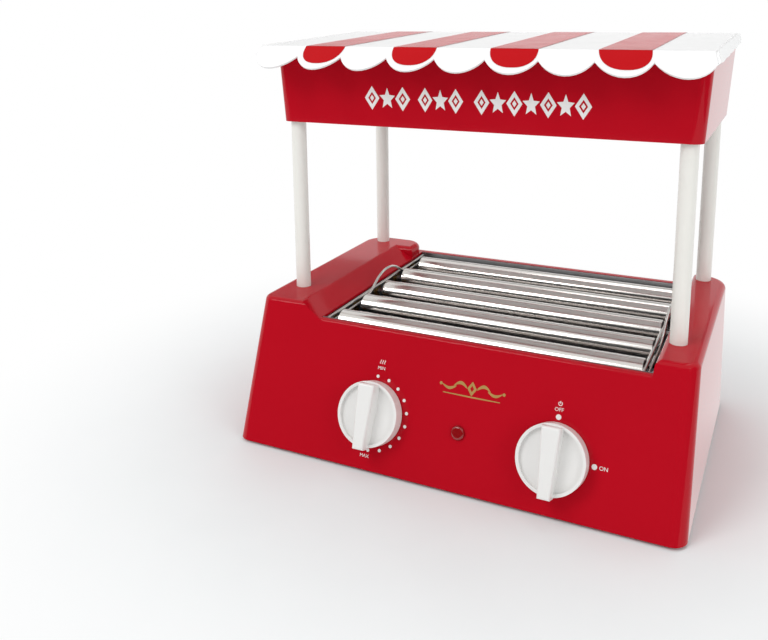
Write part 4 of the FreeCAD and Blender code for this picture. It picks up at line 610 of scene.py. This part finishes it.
def grained(tree, scale, colours, coords=None):
    """Gives the tree's shader a colour that wanders between two colours."""
    grain = tree.nodes.new("ShaderNodeTexNoise")
    grain.inputs["Scale"].default_value = scale
    if coords:
        tree.links.new(coords.outputs["Object"], grain.inputs["Vector"])
    tint = tree.nodes.new("ShaderNodeMix")
    tint.data_type = "RGBA"
    tint.inputs["A"].default_value, tint.inputs["B"].default_value = colours
    tree.links.new(grain.outputs["Fac"], tint.inputs["Factor"])
    tree.links.new(tint.outputs["Result"], tree.nodes["Principled BSDF"].inputs["Base Color"])


def smooth_step(tree, value, low, high):
    node = tree.nodes.new("ShaderNodeMapRange")
    node.interpolation_type = "SMOOTHSTEP"
    node.inputs["From Min"].default_value = low
    node.inputs["From Max"].default_value = high
    tree.links.new(value, node.inputs["Value"])
    return node.outputs["Result"]


def combine(tree, operation, first, second):
    node = tree.nodes.new("ShaderNodeMath")
    node.operation = operation
    tree.links.new(first, node.inputs[0])
    tree.links.new(second, node.inputs[1])
    return node.outputs[0]


def mirror_ray(tree, path):
    """1 for the rays by which metal and glass show their surroundings."""
    return combine(tree, "MAXIMUM", path.outputs["Is Glossy Ray"], path.outputs["Is Transmission Ray"])


def staged_sheet(name, verts, faces, look):
    mesh = bpy.data.meshes.new(name)
    mesh.from_pydata(verts, [], faces)
    mesh.materials.append(look)
    obj = bpy.data.objects.new(name, mesh)
    scene.collection.objects.link(obj)
    return obj


floor_look = bpy.data.materials.new("floor")
floor_look.use_nodes = True
tree = floor_look.node_tree
shader = tree.nodes["Principled BSDF"]
shader.inputs["Roughness"].default_value = 0.6
shader.inputs["Specular IOR Level"].default_value = 0.2
coords = tree.nodes.new("ShaderNodeTexCoord")
grained(tree, 14.0, FLOOR_TINTS, coords)
glow = tree.nodes.new("ShaderNodeEmission")
glow.inputs["Strength"].default_value = 1.0
distance = tree.nodes.new("ShaderNodeVectorMath")
distance.operation = "LENGTH"
tree.links.new(coords.outputs["Object"], distance.inputs[0])
path = tree.nodes.new("ShaderNodeLightPath")
seen_fade = smooth_step(tree, distance.outputs["Value"], *CAMERA_FADE)
mirror_fade = smooth_step(tree, distance.outputs["Value"], *MIRROR_FADE)
seen = combine(tree, "MULTIPLY", seen_fade, path.outputs["Is Camera Ray"])
mirrored = combine(tree, "MULTIPLY", mirror_fade, mirror_ray(tree, path))
blend = tree.nodes.new("ShaderNodeMixShader")
tree.links.new(combine(tree, "MAXIMUM", seen, mirrored), blend.inputs["Fac"])
tree.links.new(shader.outputs["BSDF"], blend.inputs[1])
tree.links.new(glow.outputs["Emission"], blend.inputs[2])
tree.links.new(blend.outputs["Shader"], tree.nodes["Material Output"].inputs["Surface"])
floor_corners = [(-FLOOR_HALF, -FLOOR_HALF, 0), (FLOOR_HALF, -FLOOR_HALF, 0),
                 (FLOOR_HALF, FLOOR_HALF, 0), (-FLOOR_HALF, FLOOR_HALF, 0)]
staged_sheet("floor", floor_corners, [(0, 1, 2, 3)], floor_look)


def card(name, line, low, high, tones):
    """An upright card along a line, seen only in reflections."""
    look = bpy.data.materials.new(name)
    look.use_nodes = True
    look.node_tree.nodes["Principled BSDF"].inputs["Roughness"].default_value = 0.8
    grained(look.node_tree, 6.0, [(tone, tone, tone, 1) for tone in tones])
    count = len(line)
    verts = [(x, y, z) for z in (low, high) for x, y in line]
    faces = [(i, i + 1, count + i + 1, count + i) for i in range(count - 1)]
    obj = staged_sheet(name, verts, faces, look)
    obj.visible_camera = False
    obj.visible_diffuse = False
    obj.visible_shadow = False


# The front and the right side mirror a dark card, and the tops of the shoulders a grey one.
card("front_card", [(-3.2, -1.35), (1.5, -1.35), (1.5, 0.25)], 0.0, 1.15, (0.02, 0.035))
card("back_card", [(-2.4, 1.35), (0.9, 1.35)], 0.58, 1.15, (0.42, 0.47))

world = bpy.data.worlds.new("studio")
scene.world = world
world.use_nodes = True
tree = world.node_tree
tree.nodes.clear()
path = tree.nodes.new("ShaderNodeLightPath")
backgrounds = []
for strength in (AMBIENT, 1.0):
    background = tree.nodes.new("ShaderNodeBackground")
    background.inputs["Color"].default_value = (1, 1, 1, 1)
    background.inputs["Strength"].default_value = strength
    backgrounds.append(background)
mix = tree.nodes.new("ShaderNodeMixShader")
shown = combine(tree, "MAXIMUM", path.outputs["Is Camera Ray"], mirror_ray(tree, path))
tree.links.new(shown, mix.inputs["Fac"])
for number, background in enumerate(backgrounds, start=1):
    tree.links.new(background.outputs[0], mix.inputs[number])
out = tree.nodes.new("ShaderNodeOutputWorld")
tree.links.new(mix.outputs[0], out.inputs["Surface"])


# ------------------------------------------------------------------ lamps
def lamp(name, place, target, size, watts):
    data = bpy.data.lights.new(name, "AREA")
    data.shape = "RECTANGLE"
    data.size = size
    data.size_y = size
    data.energy = watts
    obj = bpy.data.objects.new(name, data)
    obj.location = place
    direction = Vector(target) - Vector(place)
    obj.rotation_euler = direction.to_track_quat("-Z", "Y").to_euler()
    scene.collection.objects.link(obj)


lamp("key", (-0.9, -1.5, 1.7), (0, 0, 0.15), 1.1, 17)
lamp("fill", (1.7, -0.9, 0.9), (0, 0, 0.15), 1.0, 7)
lamp("top", (0.1, 0.5, 1.9), (0, 0, 0.2), 1.2, 8)


# ------------------------------------------------------------------ camera
# The picture's size, the focal length and the row of the optical axis, in pixels.
PICTURE_WIDTH, PICTURE_HEIGHT = 768, 640
FOCAL_PIXELS = 854.536
AXIS_ROW = 175.0
SENSOR = 36.0
YAW, PITCH, ROLL = 0.459525, 0.198004, -0.012190
EYE = point(250.632, -768.632, 393.480)

forward = Vector((-math.sin(YAW) * math.cos(PITCH), math.cos(YAW) * math.cos(PITCH), -math.sin(PITCH)))
right = Vector((math.cos(YAW), math.sin(YAW), 0))
up = right.cross(forward)
right_axis = right * math.cos(ROLL) + up * math.sin(ROLL)
up_axis = up * math.cos(ROLL) - right * math.sin(ROLL)
camera_data = bpy.data.cameras.new("camera")
camera_data.sensor_width = SENSOR
camera_data.lens = FOCAL_PIXELS * SENSOR / PICTURE_WIDTH
camera_data.shift_y = (AXIS_ROW - PICTURE_HEIGHT / 2) / PICTURE_WIDTH
camera_data.clip_start = 0.01
camera = bpy.data.objects.new("camera", camera_data)
turn = Matrix((right_axis, up_axis, -forward)).transposed().to_4x4()
camera.matrix_world = Matrix.Translation(EYE) @ turn
scene.collection.objects.link(camera)
scene.camera = camera
scene.view_settings.view_transform = "Standard"
